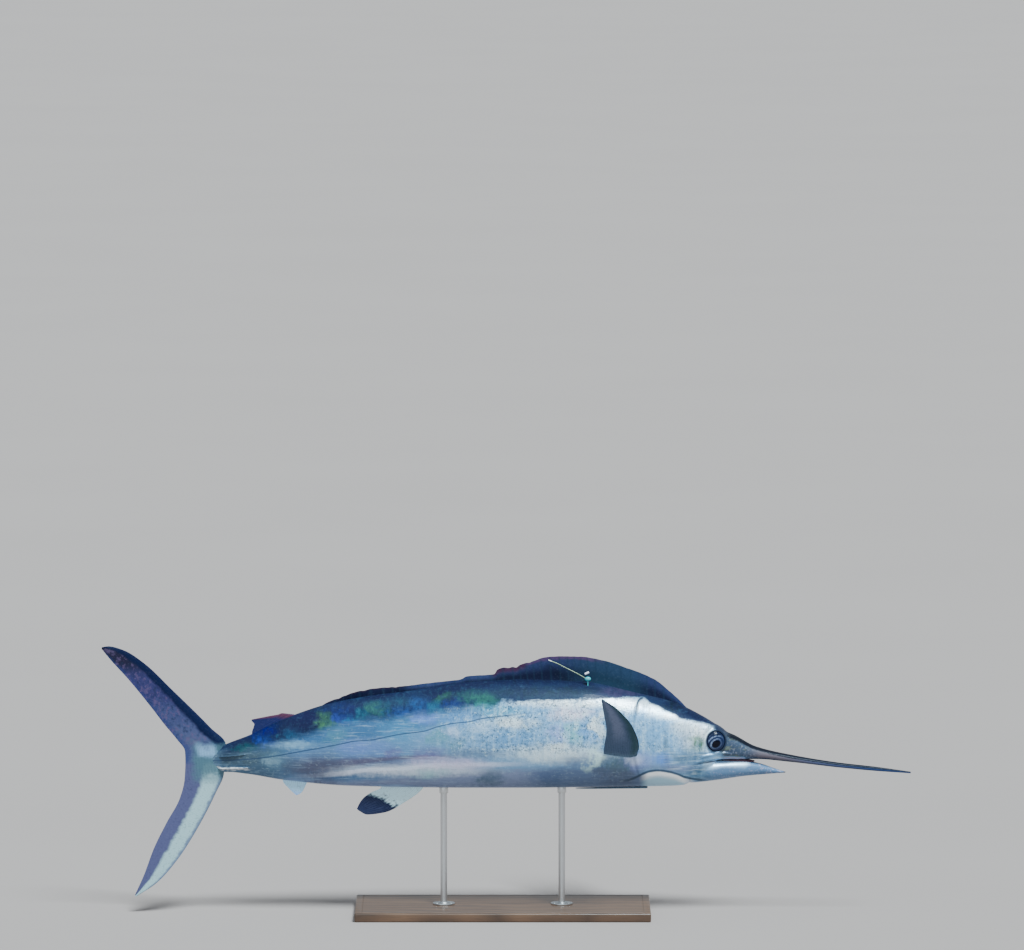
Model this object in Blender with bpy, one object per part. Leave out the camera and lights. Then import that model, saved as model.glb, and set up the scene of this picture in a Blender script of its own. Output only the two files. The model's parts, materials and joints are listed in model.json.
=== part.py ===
"""A young black marlin, life size, stretched out in a low leap above a plain display stand.

Units are metres. +X points along the fish to the tip of its bill, +Y to its left side, +Z up.
The origin is on the floor, below the middle of the whole length.
Heights on the fish are measured from its belly line, which BELLY_HEIGHT carries above the floor.
"""

import math

import bmesh
import bpy
import numpy as np
from mathutils import Matrix, Vector

# Driving dimensions
BELLY_HEIGHT = 0.345  # floor to the belly line, so that the lower tail lobe clears the floor
SEAM = 0.0003  # gap between pieces that meet
BODY_AROUND = 28  # points round a body section
BILL_AROUND = 16
JAW_AROUND = 18
LIFT = Vector((0, 0, BELLY_HEIGHT))

# Lengths that the body is parted into: start, end, steps between sections
BILL_TIP_X = 1.0955
BODY_LENGTHS = {
    "tail_stalk": (-0.790, -0.560, 7),
    "trunk_rear": (-0.560, -0.250, 7),
    "trunk_middle": (-0.250, 0.080, 6),
    "trunk_front": (0.080, 0.335, 5),
    "head": (0.335, 0.675, 20),
    "bill": (0.675, BILL_TIP_X, 11),
}
JAW_LENGTH = (0.536, 0.756, 11)

# Sections of the body, skull and bill: place, back height, underside height, half width, fullness.
# Fullness is the power of the section's curve: 2 is an ellipse, and more is boxier.
BODY_SECTIONS = {
    "tail_root": (-0.806, 0.0960, 0.0405, 0.0060, 2.0),
    "stalk": (-0.755, 0.1190, 0.0405, 0.0150, 2.0),
    "stalk_front": (-0.700, 0.1400, 0.0350, 0.0215, 2.0),
    "second_dorsal": (-0.604, 0.1860, 0.0190, 0.0360, 2.0),
    "vent": (-0.428, 0.2405, 0.0030, 0.0560, 2.05),
    "anal_fin": (-0.244, 0.2660, -0.0014, 0.0710, 2.1),
    "middle": (-0.100, 0.2870, -0.0027, 0.0800, 2.1),
    "deepest": (0.050, 0.2945, -0.0027, 0.0850, 2.1),
    "shoulder": (0.200, 0.2900, -0.0010, 0.0860, 2.1),
    "gill_opening": (0.345, 0.2600, 0.0010, 0.0820, 2.1),
    "cheek": (0.450, 0.2330, 0.0030, 0.0730, 2.15),
    "throat": (0.525, 0.1975, 0.0160, 0.0580, 2.4),
    "eye": (0.577, 0.1640, 0.0735, 0.0460, 2.8),
    "snout": (0.617, 0.1410, 0.0770, 0.0350, 2.5),
    "bill_root": (0.675, 0.1110, 0.0780, 0.0215, 2.1),
    "bill_quarter": (0.770, 0.0880, 0.0680, 0.0125, 2.0),
    "bill_half": (0.900, 0.0665, 0.0530, 0.0085, 2.0),
    "bill_fore": (1.000, 0.0550, 0.0435, 0.0058, 2.0),
    "bill_tip": (BILL_TIP_X, 0.0415, 0.0370, 0.0020, 2.0),
}
WIDEST_SHARE = 0.52  # how far up a section is widest

# Sections of the lower jaw, which starts inside the throat
JAW_SECTIONS = {
    "jaw_hinge": (0.500, 0.0740, 0.0150, 0.0530, 2.3),
    "mouth_corner": (0.560, 0.0745, 0.0185, 0.0440, 2.3),
    "jaw_rear": (0.600, 0.0718, 0.0240, 0.0335, 2.2),
    "jaw_middle": (0.641, 0.0705, 0.0297, 0.0240, 2.2),
    "jaw_fore": (0.684, 0.0640, 0.0335, 0.0160, 2.1),
    "jaw_front": (0.727, 0.0505, 0.0370, 0.0088, 2.0),
    "jaw_tip": (0.756, 0.0412, 0.0390, 0.0012, 2.0),
}

# Eye: a domed lens in a straight socket, turned a little forward and up
EYE_CENTRE = Vector((0.5670, -0.0455, 0.1305))
EYE_RADIUS = 0.0258
EYE_TALL = 1.08  # height over length
EYE_RIM = -0.0090  # where the lens's edge lies, counted outwards from the centre
EYE_BACK = -0.0170
EYE_DOME = 0.0035
EYE_FORWARD = math.radians(12.0)
EYE_UP = math.radians(7.0)
EYE_SIDES = 24
DOME_RINGS = 4
SOCKET_REACH = 0.050

# Gill cover: a plate that stands proud of the cheek, with an outline like a rounded box
GILL_CENTRE = (0.4220, 0.1280)
GILL_HALF = (0.0600, 0.1000)
GILL_POWER = 2.4
GILL_PROUD = 0.0026
GILL_POINTS = 26
GILL_DEPTH = (0.0200, 0.1100)  # from the middle plane

# Fins: the two edges of each blade as (x, height) from root to tip, then its thickness at root and tip
TAIL_CENTRE = 0.0690
UPPER_LOBE_FRONT = (
    (-0.772, TAIL_CENTRE), (-0.757, 0.1200), (-0.802, 0.1620), (-0.904, 0.2640),
    (-0.985, 0.3410), (-1.038, 0.3740), (-1.078, 0.3840), (-1.0950, 0.3810),
)
UPPER_LOBE_REAR = (
    (-0.872, TAIL_CENTRE), (-0.871, 0.0970), (-0.893, 0.1300), (-0.925, 0.1690),
    (-0.963, 0.2190), (-1.027, 0.2980), (-1.068, 0.3430), (-1.0955, 0.3765),
)
LOWER_LOBE_FRONT = (
    (-0.772, TAIL_CENTRE), (-0.766, 0.0340), (-0.786, -0.0130), (-0.838, -0.1140),
    (-0.890, -0.1960), (-0.950, -0.2640), (-1.006, -0.3010),
)
LOWER_LOBE_REAR = (
    (-0.872, TAIL_CENTRE), (-0.8725, 0.0200), (-0.885, -0.0300), (-0.922, -0.0990),
    (-0.957, -0.1700), (-0.983, -0.2400), (-1.008, -0.2960),
)
TAIL_THICK = (0.0170, 0.0024)

DORSAL_BURIED = 0.0120  # how deep the fin's root goes before the body trims it
DORSAL_CREST = (
    (0.490, 0.216), (0.468, 0.237), (0.436, 0.266), (0.406, 0.290), (0.368, 0.310), (0.328, 0.325),
    (0.267, 0.345), (0.205, 0.356), (0.145, 0.357), (0.108, 0.354), (0.070, 0.342), (0.028, 0.329),
    (-0.010, 0.324), (-0.040, 0.307), (-0.106, 0.300), (-0.153, 0.289), (-0.206, 0.283), (-0.288, 0.274),
    (-0.342, 0.270), (-0.396, 0.261), (-0.450, 0.243), (-0.500, 0.219),
)
DORSAL_THICK = (0.0080, 0.0016)

SECOND_DORSAL_FRONT = (
    (-0.562, 0.180), (-0.574, 0.198), (-0.592, 0.200), (-0.609, 0.2015), (-0.640, 0.194), (-0.668, 0.1885),
    (-0.690, 0.184),
)
SECOND_DORSAL_REAR = (
    (-0.690, 0.130), (-0.689, 0.150), (-0.685, 0.163), (-0.683, 0.171), (-0.687, 0.177), (-0.6905, 0.180),
)
SECOND_ANAL_FRONT = ((-0.538, 0.020), (-0.545, 0.002), (-0.556, -0.016), (-0.567, -0.0225))
SECOND_ANAL_REAR = ((-0.602, 0.034), (-0.606, 0.018), (-0.590, -0.004), (-0.5715, -0.0215))
SMALL_FIN_THICK = (0.0060, 0.0012)

ANAL_FRONT = (
    (-0.214, 0.012), (-0.232, -0.010), (-0.276, -0.042), (-0.330, -0.070), (-0.378, -0.076), (-0.402, -0.064),
)
ANAL_REAR = (
    (-0.330, 0.014), (-0.342, -0.004), (-0.364, -0.014), (-0.388, -0.031), (-0.400, -0.048), (-0.4055, -0.060),
)
ANAL_THICK = (0.0070, 0.0014)
BLADE_EDGE = 0.0008  # thinnest edge of any blade

# Pectoral fin: chord along X and span outwards and up; the edges are (along the chord, along the span)
PECTORAL_BASE = Vector((0.306, -0.074, 0.0960))
PECTORAL_SPAN = Vector((-0.17, -0.789, 0.59))
PECTORAL_FRONT = (
    (0.040, -0.020), (0.049, 0.010), (0.061, 0.055), (0.0635, 0.100),
    (0.059, 0.172), (0.047, 0.222), (0.029, 0.273), (0.004, 0.307),
)
PECTORAL_REAR = (
    (-0.048, -0.020), (-0.043, 0.005), (-0.032, 0.060), (-0.0185, 0.115),
    (-0.010, 0.170), (-0.0065, 0.222), (-0.003, 0.270), (-0.0005, 0.304),
)
PECTORAL_THICK = (0.0110, 0.0018)

# Pelvic fin: a narrow blade folded back along the belly
PELVIC_ROOT = Vector((0.374, -0.0110, -0.0010))
PELVIC_TIP = Vector((0.186, -0.0085, -0.0042))
PELVIC_WIDE = 0.0105
PELVIC_THICK = 0.0042
PELVIC_TAPER = 0.92
PELVIC_STEPS, PELVIC_SIDES = 8, 8

# Keels on the tail stalk: two ridges on each side
KEEL_FRONT_X = -0.690
KEEL_REAR_X = -0.776
KEEL_HEIGHTS = {"upper": (0.0930, 0.0835), "lower": (0.0560, 0.0520)}  # front and rear
KEEL_INNER = 0.0020
KEEL_REACH = 0.0240  # from the middle plane to the edge
KEEL_LOW_SHARE = 0.55  # reach at the two ends, as a share of the middle's
KEEL_STEPS = 8
KEEL_OUTLINE = (  # half of its section, as shares of the reach and of half the thickness
    (0.0, 1.0), (0.85, 0.7), (1.0, 0.15),
)
KEEL_THICK = 0.0052

# Tag: an anchor bead beside the dorsal fin, a short collar and a thin streamer laid back along the fin
TAG_BEAD = Vector((0.2200, -0.0290, 0.2985))
TAG_BEAD_HALF = Vector((0.0085, 0.0055, 0.0060))
TAG_STEM_REACH = Vector((0, 0, 0.022))
TAG_STEM_RADIUS = 0.0014
TAG_COLLAR = (Vector((0.2120, -0.0215, 0.3105)), Vector((0.2230, -0.0215, 0.3160)))
TAG_COLLAR_RADIUS = 0.0030
TAG_STREAMER = (Vector((0.2105, -0.0260, 0.3020)), Vector((0.1140, -0.0110, 0.3475)))
TAG_STREAMER_RADIUS = 0.0013

# Display stand
BASE_SIZE = Vector((0.800, 0.340, 0.024))
BASE_CENTRE_X = -0.010
BASE_BEVEL = 0.004
FLANGE_RADIUS = 0.030
FLANGE_HEIGHT = 0.006
FLANGE_BEVEL = 0.0015
FLANGE_SIDES = 28
ROD_RADIUS = 0.009
ROD_PLACES = {"front": 0.150, "rear": -0.170}
ROD_SIDES = 20
ROD_OVERRUN = 0.010  # how far a rod runs past the belly line before the body trims it

COLOURS = {  # base colour, roughness, metallic
    "back_silver": ((0.42, 0.50, 0.58), 0.30, 0.55),
    "bill_grey": ((0.16, 0.15, 0.16), 0.42, 0.10),
    "jaw_pale": ((0.62, 0.64, 0.68), 0.34, 0.30),
    "fin_dark": ((0.07, 0.08, 0.13), 0.45, 0.10),
    "tail_purple": ((0.20, 0.15, 0.22), 0.42, 0.10),
    "pale_fin": ((0.66, 0.68, 0.70), 0.40, 0.10),
    "eye_dark": ((0.03, 0.05, 0.09), 0.08, 0.0),
    "tag_teal": ((0.10, 0.45, 0.50), 0.30, 0.0),
    "tag_white": ((0.80, 0.78, 0.92), 0.35, 0.0),
    "tag_yellow": ((0.55, 0.62, 0.36), 0.40, 0.0),
    "stand_wood": ((0.10, 0.055, 0.03), 0.38, 0.0),
    "stand_steel": ((0.62, 0.62, 0.63), 0.28, 1.0),
}
SHARP_ANGLE = math.radians(40.0)


def clear_scene():
    for obj in list(bpy.data.objects):
        bpy.data.objects.remove(obj)


def make_materials():
    made = {}
    for name, (colour, roughness, metallic) in COLOURS.items():
        material = bpy.data.materials.new(name)
        material.use_nodes = True
        shader = material.node_tree.nodes["Principled BSDF"]
        shader.inputs["Base Color"].default_value = (*colour, 1.0)
        shader.inputs["Roughness"].default_value = roughness
        shader.inputs["Metallic"].default_value = metallic
        made[name] = material
    return made


def add_object(name, mesh_data, material):
    """Closes a bmesh into a named object with its faces pointing out."""
    bmesh.ops.recalc_face_normals(mesh_data, faces=mesh_data.faces)
    mesh = bpy.data.meshes.new(name)
    mesh_data.to_mesh(mesh)
    mesh_data.free()
    if material is not None:
        mesh.materials.append(material)
    mesh.shade_smooth()
    mesh.set_sharp_from_angle(angle=SHARP_ANGLE)
    obj = bpy.data.objects.new(name, mesh)
    bpy.context.scene.collection.objects.link(obj)
    return obj


def smooth_rows(rows):
    """A function of place that runs smoothly through rows of (place, value, value, ...), with no overshoot."""
    table = np.array(sorted(rows), float)
    places, values = table[:, 0], table[:, 1:]
    widths = np.diff(places)[:, None]
    slopes = np.diff(values, axis=0) / widths
    tangents = np.zeros_like(values)
    tangents[0], tangents[-1] = slopes[0], slopes[-1]
    before, after = slopes[:-1], slopes[1:]
    near, far = 2 * widths[1:] + widths[:-1], widths[1:] + 2 * widths[:-1]
    same_way = before * after > 0
    safe_before = np.where(same_way, before, 1.0)
    safe_after = np.where(same_way, after, 1.0)
    harmonic = (near + far) / (near / safe_before + far / safe_after)
    tangents[1:-1] = np.where(same_way, harmonic, 0.0)

    def value_at(place):
        i = int(np.clip(np.searchsorted(places, place) - 1, 0, len(places) - 2))
        width = places[i + 1] - places[i]
        t = float(np.clip((place - places[i]) / width, 0.0, 1.0))
        start = (1 + 2 * t) * (1 - t) ** 2 * values[i] + t * (1 - t) ** 2 * width * tangents[i]
        end = t * t * (3 - 2 * t) * values[i + 1] + t * t * (t - 1) * width * tangents[i + 1]
        return start + end

    return value_at


body_at = smooth_rows(BODY_SECTIONS.values())
jaw_at = smooth_rows(JAW_SECTIONS.values())


def signed_power(value, power):
    return math.copysign(abs(value) ** power, value)


def circle_points(radius, count):
    """Points round a circle, as pairs."""
    turns = [2 * math.pi * k / count for k in range(count)]
    return [(radius * math.cos(turn), radius * math.sin(turn)) for turn in turns]


def section_ring(section_at, x, around, grow):
    """Points round one section, pushed out by grow."""
    top, bottom, half_width, fullness = section_at(x)
    waist = bottom + WIDEST_SHARE * (top - bottom)
    ring = []
    for across, up in circle_points(1.0, around):
        side = signed_power(across, 2 / fullness)
        rise = signed_power(up, 2 / fullness)
        reach = top - waist if rise > 0 else waist - bottom
        ring.append(Vector((x, (half_width + grow) * side, waist + (reach + grow) * rise)) + LIFT)
    return ring


def skin_rings(mesh_data, rings):
    """Walls between successive rings of points, and a flat cap at each end."""
    loops = [[mesh_data.verts.new(point) for point in ring] for ring in rings]
    for first, second in zip(loops, loops[1:]):
        for k in range(len(first)):
            after = (k + 1) % len(first)
            mesh_data.faces.new((first[k], first[after], second[after], second[k]))
    mesh_data.faces.new(loops[0])
    mesh_data.faces.new(reversed(loops[-1]))


def add_rings(name, rings, material):
    mesh_data = bmesh.new()
    skin_rings(mesh_data, rings)
    return add_object(name, mesh_data, material)


def places_along(start, end, steps):
    return [start + (end - start) * k / steps for k in range(steps + 1)]


def body_length(name, section_at, places, around, material, grow=0.0):
    """One length of the body, lofted through the sections at the given places."""
    return add_rings(name, [section_ring(section_at, x, around, grow) for x in places], material)


def parted_places(name):
    """The places of one length's sections, with half a seam taken off each end."""
    start, end, steps = BODY_LENGTHS[name]
    places = places_along(start, end, steps)
    places[0] += SEAM / 2
    places[-1] -= SEAM / 2 if end < BILL_TIP_X else 0.0
    return places


def hide_cutter(obj):
    obj.hide_render = True
    obj.display_type = "WIRE"
    return obj


def cut(obj, cutter, operation="DIFFERENCE"):
    modifier = obj.modifiers.new(cutter.name, "BOOLEAN")
    modifier.operation = operation
    modifier.object = cutter
    modifier.solver = "EXACT"
    return obj


def make_envelope(name, grow, first="tail_stalk", last="bill"):
    """The body from one length to another in one piece, pushed out by grow, to trim what grows from it."""
    names = list(BODY_LENGTHS)
    kept = names[names.index(first):names.index(last) + 1]
    places = sorted({x for length in kept for x in places_along(*BODY_LENGTHS[length])})
    return hide_cutter(body_length(name, body_at, places, BODY_AROUND, None, grow))


def edge_curve(points):
    """A smooth curve through the points, as a function of a share from 0 to 1."""
    lengths = [0.0]
    for first, second in zip(points, points[1:]):
        lengths.append(lengths[-1] + (Vector(second) - Vector(first)).length)
    return smooth_rows([(run / lengths[-1], *point) for run, point in zip(lengths, points)])


def rounded_front(share):
    """Half thickness across a blade, 0 to 1: a rounded front edge that thins to the back."""
    nose = 0.22
    thin = 0.90
    rise = math.sqrt(1 - (1 - min(share / nose, 1.0)) ** 2)
    return rise * (1 - thin * max(0.0, share - nose) / (1 - nose))


def even_taper(share):
    return 1 - 0.85 * share


def add_blade(name, edges, place, normal, thick, material, spans, profile=rounded_front, across=5):
    """A fin blade between two edges. place turns an edge point into a world point."""
    front_at, rear_at = edge_curve(edges[0]), edge_curve(edges[1])
    root_half, tip_half = thick[0] / 2, thick[1] / 2
    rings = []
    for i in range(spans + 1):
        share = i / spans
        start, end = place(front_at(share)), place(rear_at(share))
        full = root_half + (tip_half - root_half) * share
        near, far = [], []
        for j in range(across + 1):
            half = max(BLADE_EDGE / 2, full * profile(j / across))
            point = start.lerp(end, j / across)
            near.append(point + normal * half)
            far.append(point - normal * half)
        rings.append(near + far[::-1])
    return add_rings(name, rings, material)


def in_middle_plane(point):
    return Vector((point[0], 0.0, point[1])) + LIFT


def mirrored_copy(obj, name):
    """The same piece on the fish's left side."""
    mesh_data = bmesh.new()
    mesh_data.from_mesh(obj.data)
    bmesh.ops.transform(mesh_data, matrix=Matrix.Scale(-1, 4, (0, 1, 0)), verts=mesh_data.verts)
    bmesh.ops.reverse_faces(mesh_data, faces=mesh_data.faces)
    copy = add_object(name, mesh_data, obj.data.materials[0] if obj.data.materials else None)
    for modifier in obj.modifiers:
        cut(copy, modifier.object, modifier.operation)
    return copy


def add_trunk(materials):
    for name in ("tail_stalk", "trunk_rear", "trunk_middle", "trunk_front"):
        body_length(name, body_at, parted_places(name), BODY_AROUND, materials["back_silver"])


def eye_matrix():
    turn = Matrix.Rotation(EYE_FORWARD, 4, "Z") @ Matrix.Rotation(-EYE_UP, 4, "X")
    return Matrix.Translation(EYE_CENTRE + LIFT) @ turn @ Matrix.Diagonal((1, 1, EYE_TALL, 1))


def turned_piece(name, profile, material):
    """A solid turned about the eye's axis, from (radius, reach outwards) points."""
    rings = []
    for radius, reach in profile:
        rings.append([Vector((across, -reach, up)) for across, up in circle_points(radius, EYE_SIDES)])
    piece = add_rings(name, rings, material)
    piece.data.transform(eye_matrix())
    return piece


def add_eye(materials):
    """The right eye, and the cutter for its socket."""
    profile = [(EYE_RADIUS, EYE_BACK), (EYE_RADIUS, EYE_RIM)]
    for k in range(1, DOME_RINGS + 1):
        angle = math.pi / 2 * k / (DOME_RINGS + 0.6)
        profile.append((EYE_RADIUS * math.cos(angle), EYE_RIM + (EYE_DOME - EYE_RIM) * math.sin(angle)))
    eye = turned_piece("eye_right", profile, materials["eye_dark"])
    socket_profile = [(EYE_RADIUS + SEAM, EYE_BACK - SEAM), (EYE_RADIUS + SEAM, SOCKET_REACH)]
    return eye, hide_cutter(turned_piece("socket_right", socket_profile, None))


def add_gill_cover(materials, envelope):
    """The right gill cover: a slice of a slightly fatter head, inside a rounded outline."""
    outline = []
    for across, up in circle_points(1.0, GILL_POINTS):
        outline.append((
            GILL_CENTRE[0] + GILL_HALF[0] * signed_power(across, 2 / GILL_POWER),
            GILL_CENTRE[1] + GILL_HALF[1] * signed_power(up, 2 / GILL_POWER),
        ))
    rings = [[Vector((x, -depth, height)) + LIFT for x, height in outline] for depth in GILL_DEPTH]
    cover = add_rings("gill_cover_right", rings, materials["back_silver"])
    fat_head = make_envelope("fat_head", GILL_PROUD, "trunk_front", "head")
    cut(cover, fat_head, "INTERSECT")
    return cut(cover, envelope)


def add_head(materials):
    """Skull, bill, lower jaw, eyes and gill covers."""
    envelope = make_envelope("head_envelope", SEAM, "trunk_front")
    head = body_length("head", body_at, parted_places("head"), BODY_AROUND, materials["back_silver"])
    body_length("bill", body_at, parted_places("bill"), BILL_AROUND, materials["bill_grey"])
    jaw = body_length("lower_jaw", jaw_at, places_along(*JAW_LENGTH), JAW_AROUND, materials["jaw_pale"])
    cut(jaw, envelope)
    eye, socket = add_eye(materials)
    mirrored_copy(eye, "eye_left")
    cut(head, socket)
    cut(head, hide_cutter(mirrored_copy(socket, "socket_left")))
    mirrored_copy(add_gill_cover(materials, envelope), "gill_cover_left")


def add_middle_fins(materials, envelope):
    """Dorsal, anal and tail fins, which stand in the middle plane."""
    side = Vector((0, 1, 0))
    base = [(x, body_at(x)[0] - DORSAL_BURIED) for x, _ in DORSAL_CREST]
    dorsal = add_blade(
        "first_dorsal_fin", (base, DORSAL_CREST), in_middle_plane, side, DORSAL_THICK,
        materials["fin_dark"], spans=32, profile=even_taper, across=4,
    )
    cut(dorsal, envelope)
    small = (
        ("second_dorsal_fin", SECOND_DORSAL_FRONT, SECOND_DORSAL_REAR, SMALL_FIN_THICK, "fin_dark", 8),
        ("first_anal_fin", ANAL_FRONT, ANAL_REAR, ANAL_THICK, "pale_fin", 10),
        ("second_anal_fin", SECOND_ANAL_FRONT, SECOND_ANAL_REAR, SMALL_FIN_THICK, "pale_fin", 7),
        ("tail_fin_upper_lobe", UPPER_LOBE_FRONT, UPPER_LOBE_REAR, TAIL_THICK, "tail_purple", 16),
        ("tail_fin_lower_lobe", LOWER_LOBE_FRONT, LOWER_LOBE_REAR, TAIL_THICK, "tail_purple", 15),
    )
    half_seam = {"tail_fin_upper_lobe": SEAM / 2, "tail_fin_lower_lobe": -SEAM / 2}
    for name, front, rear, thick, material, spans in small:
        blade = add_blade(
            name, (front, rear), in_middle_plane, side, thick, materials[material], spans=spans,
        )
        blade.data.transform(Matrix.Translation((0, 0, half_seam.get(name, 0.0))))
        cut(blade, envelope)


def add_pectoral_fins(materials, envelope):
    span = PECTORAL_SPAN.normalized()
    chord = Vector((1, 0, 0))
    normal = span.cross(chord).normalized()

    def place(point):
        return PECTORAL_BASE + LIFT + chord * point[0] + span * point[1]

    fin = add_blade(
        "pectoral_fin_right", (PECTORAL_FRONT, PECTORAL_REAR), place, normal, PECTORAL_THICK,
        materials["fin_dark"], spans=12,
    )
    cut(fin, envelope)
    mirrored_copy(fin, "pectoral_fin_left")


def add_pelvic_fins(materials, envelope):
    """Narrow blades that lie along the belly."""
    rings = []
    for k in range(PELVIC_STEPS + 1):
        share = k / PELVIC_STEPS
        centre = PELVIC_ROOT.lerp(PELVIC_TIP, share) + LIFT
        half = math.sqrt(1 - PELVIC_TAPER * share) / 2
        ring = circle_points(half, PELVIC_SIDES)
        rings.append([centre + Vector((0, PELVIC_WIDE * across, PELVIC_THICK * up)) for across, up in ring])
    fin = add_rings("pelvic_fin_right", rings, materials["fin_dark"])
    cut(fin, envelope)
    mirrored_copy(fin, "pelvic_fin_left")


def add_keels(materials, envelope):
    """Two ridges on each side of the tail stalk."""
    outline = list(KEEL_OUTLINE) + [(out, -up) for out, up in reversed(KEEL_OUTLINE)]
    for level, (front_height, rear_height) in KEEL_HEIGHTS.items():
        rings = []
        for k in range(KEEL_STEPS + 1):
            share = k / KEEL_STEPS
            x = KEEL_FRONT_X + (KEEL_REAR_X - KEEL_FRONT_X) * share
            height = front_height + (rear_height - front_height) * share
            bow = KEEL_LOW_SHARE + (1 - KEEL_LOW_SHARE) * math.sin(math.pi * share)
            reach = (KEEL_REACH - KEEL_INNER) * bow
            rings.append([
                Vector((x, -KEEL_INNER - reach * out, height + KEEL_THICK / 2 * up)) + LIFT
                for out, up in outline
            ])
        keel = add_rings(f"tail_keel_{level}_right", rings, materials["back_silver"])
        cut(keel, envelope)
        mirrored_copy(keel, f"tail_keel_{level}_left")


def add_rod(name, start, end, radius, sides, material):
    """A straight round rod between two points."""
    axis = (end - start).normalized()
    across = axis.orthogonal().normalized()
    other = axis.cross(across)
    ring = [across * a + other * b for a, b in circle_points(radius, sides)]
    return add_rings(name, [[centre + point for point in ring] for centre in (start, end)], material)


def add_tag(materials, envelope):
    """A bead whose stem goes down to the skin, a collar and a streamer."""
    mesh_data = bmesh.new()
    bmesh.ops.create_uvsphere(mesh_data, u_segments=12, v_segments=7, radius=1.0)
    bmesh.ops.scale(mesh_data, vec=TAG_BEAD_HALF, verts=mesh_data.verts)
    bmesh.ops.translate(mesh_data, vec=TAG_BEAD + LIFT, verts=mesh_data.verts)
    bead = add_object("tag_bead", mesh_data, materials["tag_teal"])
    stem_top = TAG_BEAD + LIFT
    stem = add_rod("tag_stem", stem_top, stem_top - TAG_STEM_REACH, TAG_STEM_RADIUS, 8, None)
    cut(bead, hide_cutter(stem), "UNION")
    cut(bead, envelope)
    collar_start, collar_end = (point + LIFT for point in TAG_COLLAR)
    add_rod("tag_collar", collar_start, collar_end, TAG_COLLAR_RADIUS, 10, materials["tag_white"])
    streamer_start, streamer_end = (point + LIFT for point in TAG_STREAMER)
    add_rod("tag_streamer", streamer_start, streamer_end, TAG_STREAMER_RADIUS, 8, materials["tag_yellow"])


def add_bevel(obj, width, segments):
    bevel = obj.modifiers.new("edge", "BEVEL")
    bevel.width = width
    bevel.segments = segments
    bevel.limit_method = "ANGLE"
    bevel.angle_limit = math.radians(50.0)


def add_stand(materials, envelope):
    """A flat base, two flanges and two rods whose tops follow the belly."""
    mesh_data = bmesh.new()
    bmesh.ops.create_cube(mesh_data, size=1.0)
    bmesh.ops.scale(mesh_data, vec=BASE_SIZE, verts=mesh_data.verts)
    bmesh.ops.translate(mesh_data, vec=(BASE_CENTRE_X, 0, BASE_SIZE.z / 2), verts=mesh_data.verts)
    base = add_object("stand_base", mesh_data, materials["stand_wood"])
    add_bevel(base, BASE_BEVEL, 2)
    flange_bottom = BASE_SIZE.z + SEAM
    flange_top = flange_bottom + FLANGE_HEIGHT
    rod_top = BELLY_HEIGHT + ROD_OVERRUN
    for place, x in ROD_PLACES.items():
        bottom, top = Vector((x, 0, flange_bottom)), Vector((x, 0, flange_top))
        flange = add_rod(
            f"stand_flange_{place}", bottom, top, FLANGE_RADIUS, FLANGE_SIDES, materials["stand_steel"],
        )
        add_bevel(flange, FLANGE_BEVEL, 1)
        foot, head = Vector((x, 0, flange_top + SEAM)), Vector((x, 0, rod_top))
        rod = add_rod(f"stand_rod_{place}", foot, head, ROD_RADIUS, ROD_SIDES, materials["stand_steel"])
        cut(rod, envelope)


def main():
    clear_scene()
    materials = make_materials()
    add_trunk(materials)
    add_head(materials)
    envelope = make_envelope("body_envelope", SEAM)
    add_middle_fins(materials, envelope)
    add_pectoral_fins(materials, envelope)
    add_pelvic_fins(materials, envelope)
    add_keels(materials, envelope)
    add_tag(materials, envelope)
    add_stand(materials, envelope)


main()
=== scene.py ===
# %% [markdown]
# # A young black marlin, held still above a display stand
#
# This lesson builds a life-size fish in Blender, from its body to the shine on its eye. The body, jaw and
# fins are modelled as separate solids and then grown together into one skin, because a real fish has no
# seams. A packed CAD model gives the size and the place of every part, so the first step is to load it.

import json
import math

import bpy
import numpy as np
from mathutils import Matrix, Vector
from mathutils.kdtree import KDTree

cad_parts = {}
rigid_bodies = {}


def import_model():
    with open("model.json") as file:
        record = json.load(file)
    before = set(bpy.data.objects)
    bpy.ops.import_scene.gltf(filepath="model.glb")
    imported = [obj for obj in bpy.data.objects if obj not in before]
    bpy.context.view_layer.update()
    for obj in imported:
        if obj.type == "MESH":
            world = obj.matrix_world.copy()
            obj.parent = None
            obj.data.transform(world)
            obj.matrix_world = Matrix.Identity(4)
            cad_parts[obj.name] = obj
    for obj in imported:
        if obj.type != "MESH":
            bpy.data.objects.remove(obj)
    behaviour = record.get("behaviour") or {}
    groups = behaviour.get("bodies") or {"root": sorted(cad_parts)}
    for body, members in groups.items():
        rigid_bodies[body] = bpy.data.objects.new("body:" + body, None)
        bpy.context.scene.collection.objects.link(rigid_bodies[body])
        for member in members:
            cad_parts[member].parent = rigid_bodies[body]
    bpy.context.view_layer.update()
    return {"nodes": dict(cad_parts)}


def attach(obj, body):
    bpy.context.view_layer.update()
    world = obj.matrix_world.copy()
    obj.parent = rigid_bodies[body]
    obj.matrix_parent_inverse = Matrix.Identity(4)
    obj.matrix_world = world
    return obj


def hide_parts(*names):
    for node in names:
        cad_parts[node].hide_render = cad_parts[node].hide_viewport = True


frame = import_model()
print("measured parts:", len(frame["nodes"]))

# %% [markdown]
# ## Small helpers for working as by hand
#
# An operator acts on everything that is selected, and the loaded parts arrive selected. So each step first
# lets go of everything, then takes hold of one piece. What is done again and again, such as opening a mesh
# for editing or turning its faces outwards, is written once here.

# %% Hold one piece at a time
BELLY = 0.345  # height of the belly line above the floor
LOOK_DOWN = 0.1045  # how much lower a point seems for each metre that it stands out sideways


def let_go():
    if bpy.context.mode != "OBJECT":
        bpy.ops.object.mode_set(mode="OBJECT")
    bpy.ops.object.select_all(action="DESELECT")


def take(piece):
    let_go()
    piece.select_set(True)
    bpy.context.view_layer.objects.active = piece
    return piece


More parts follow.
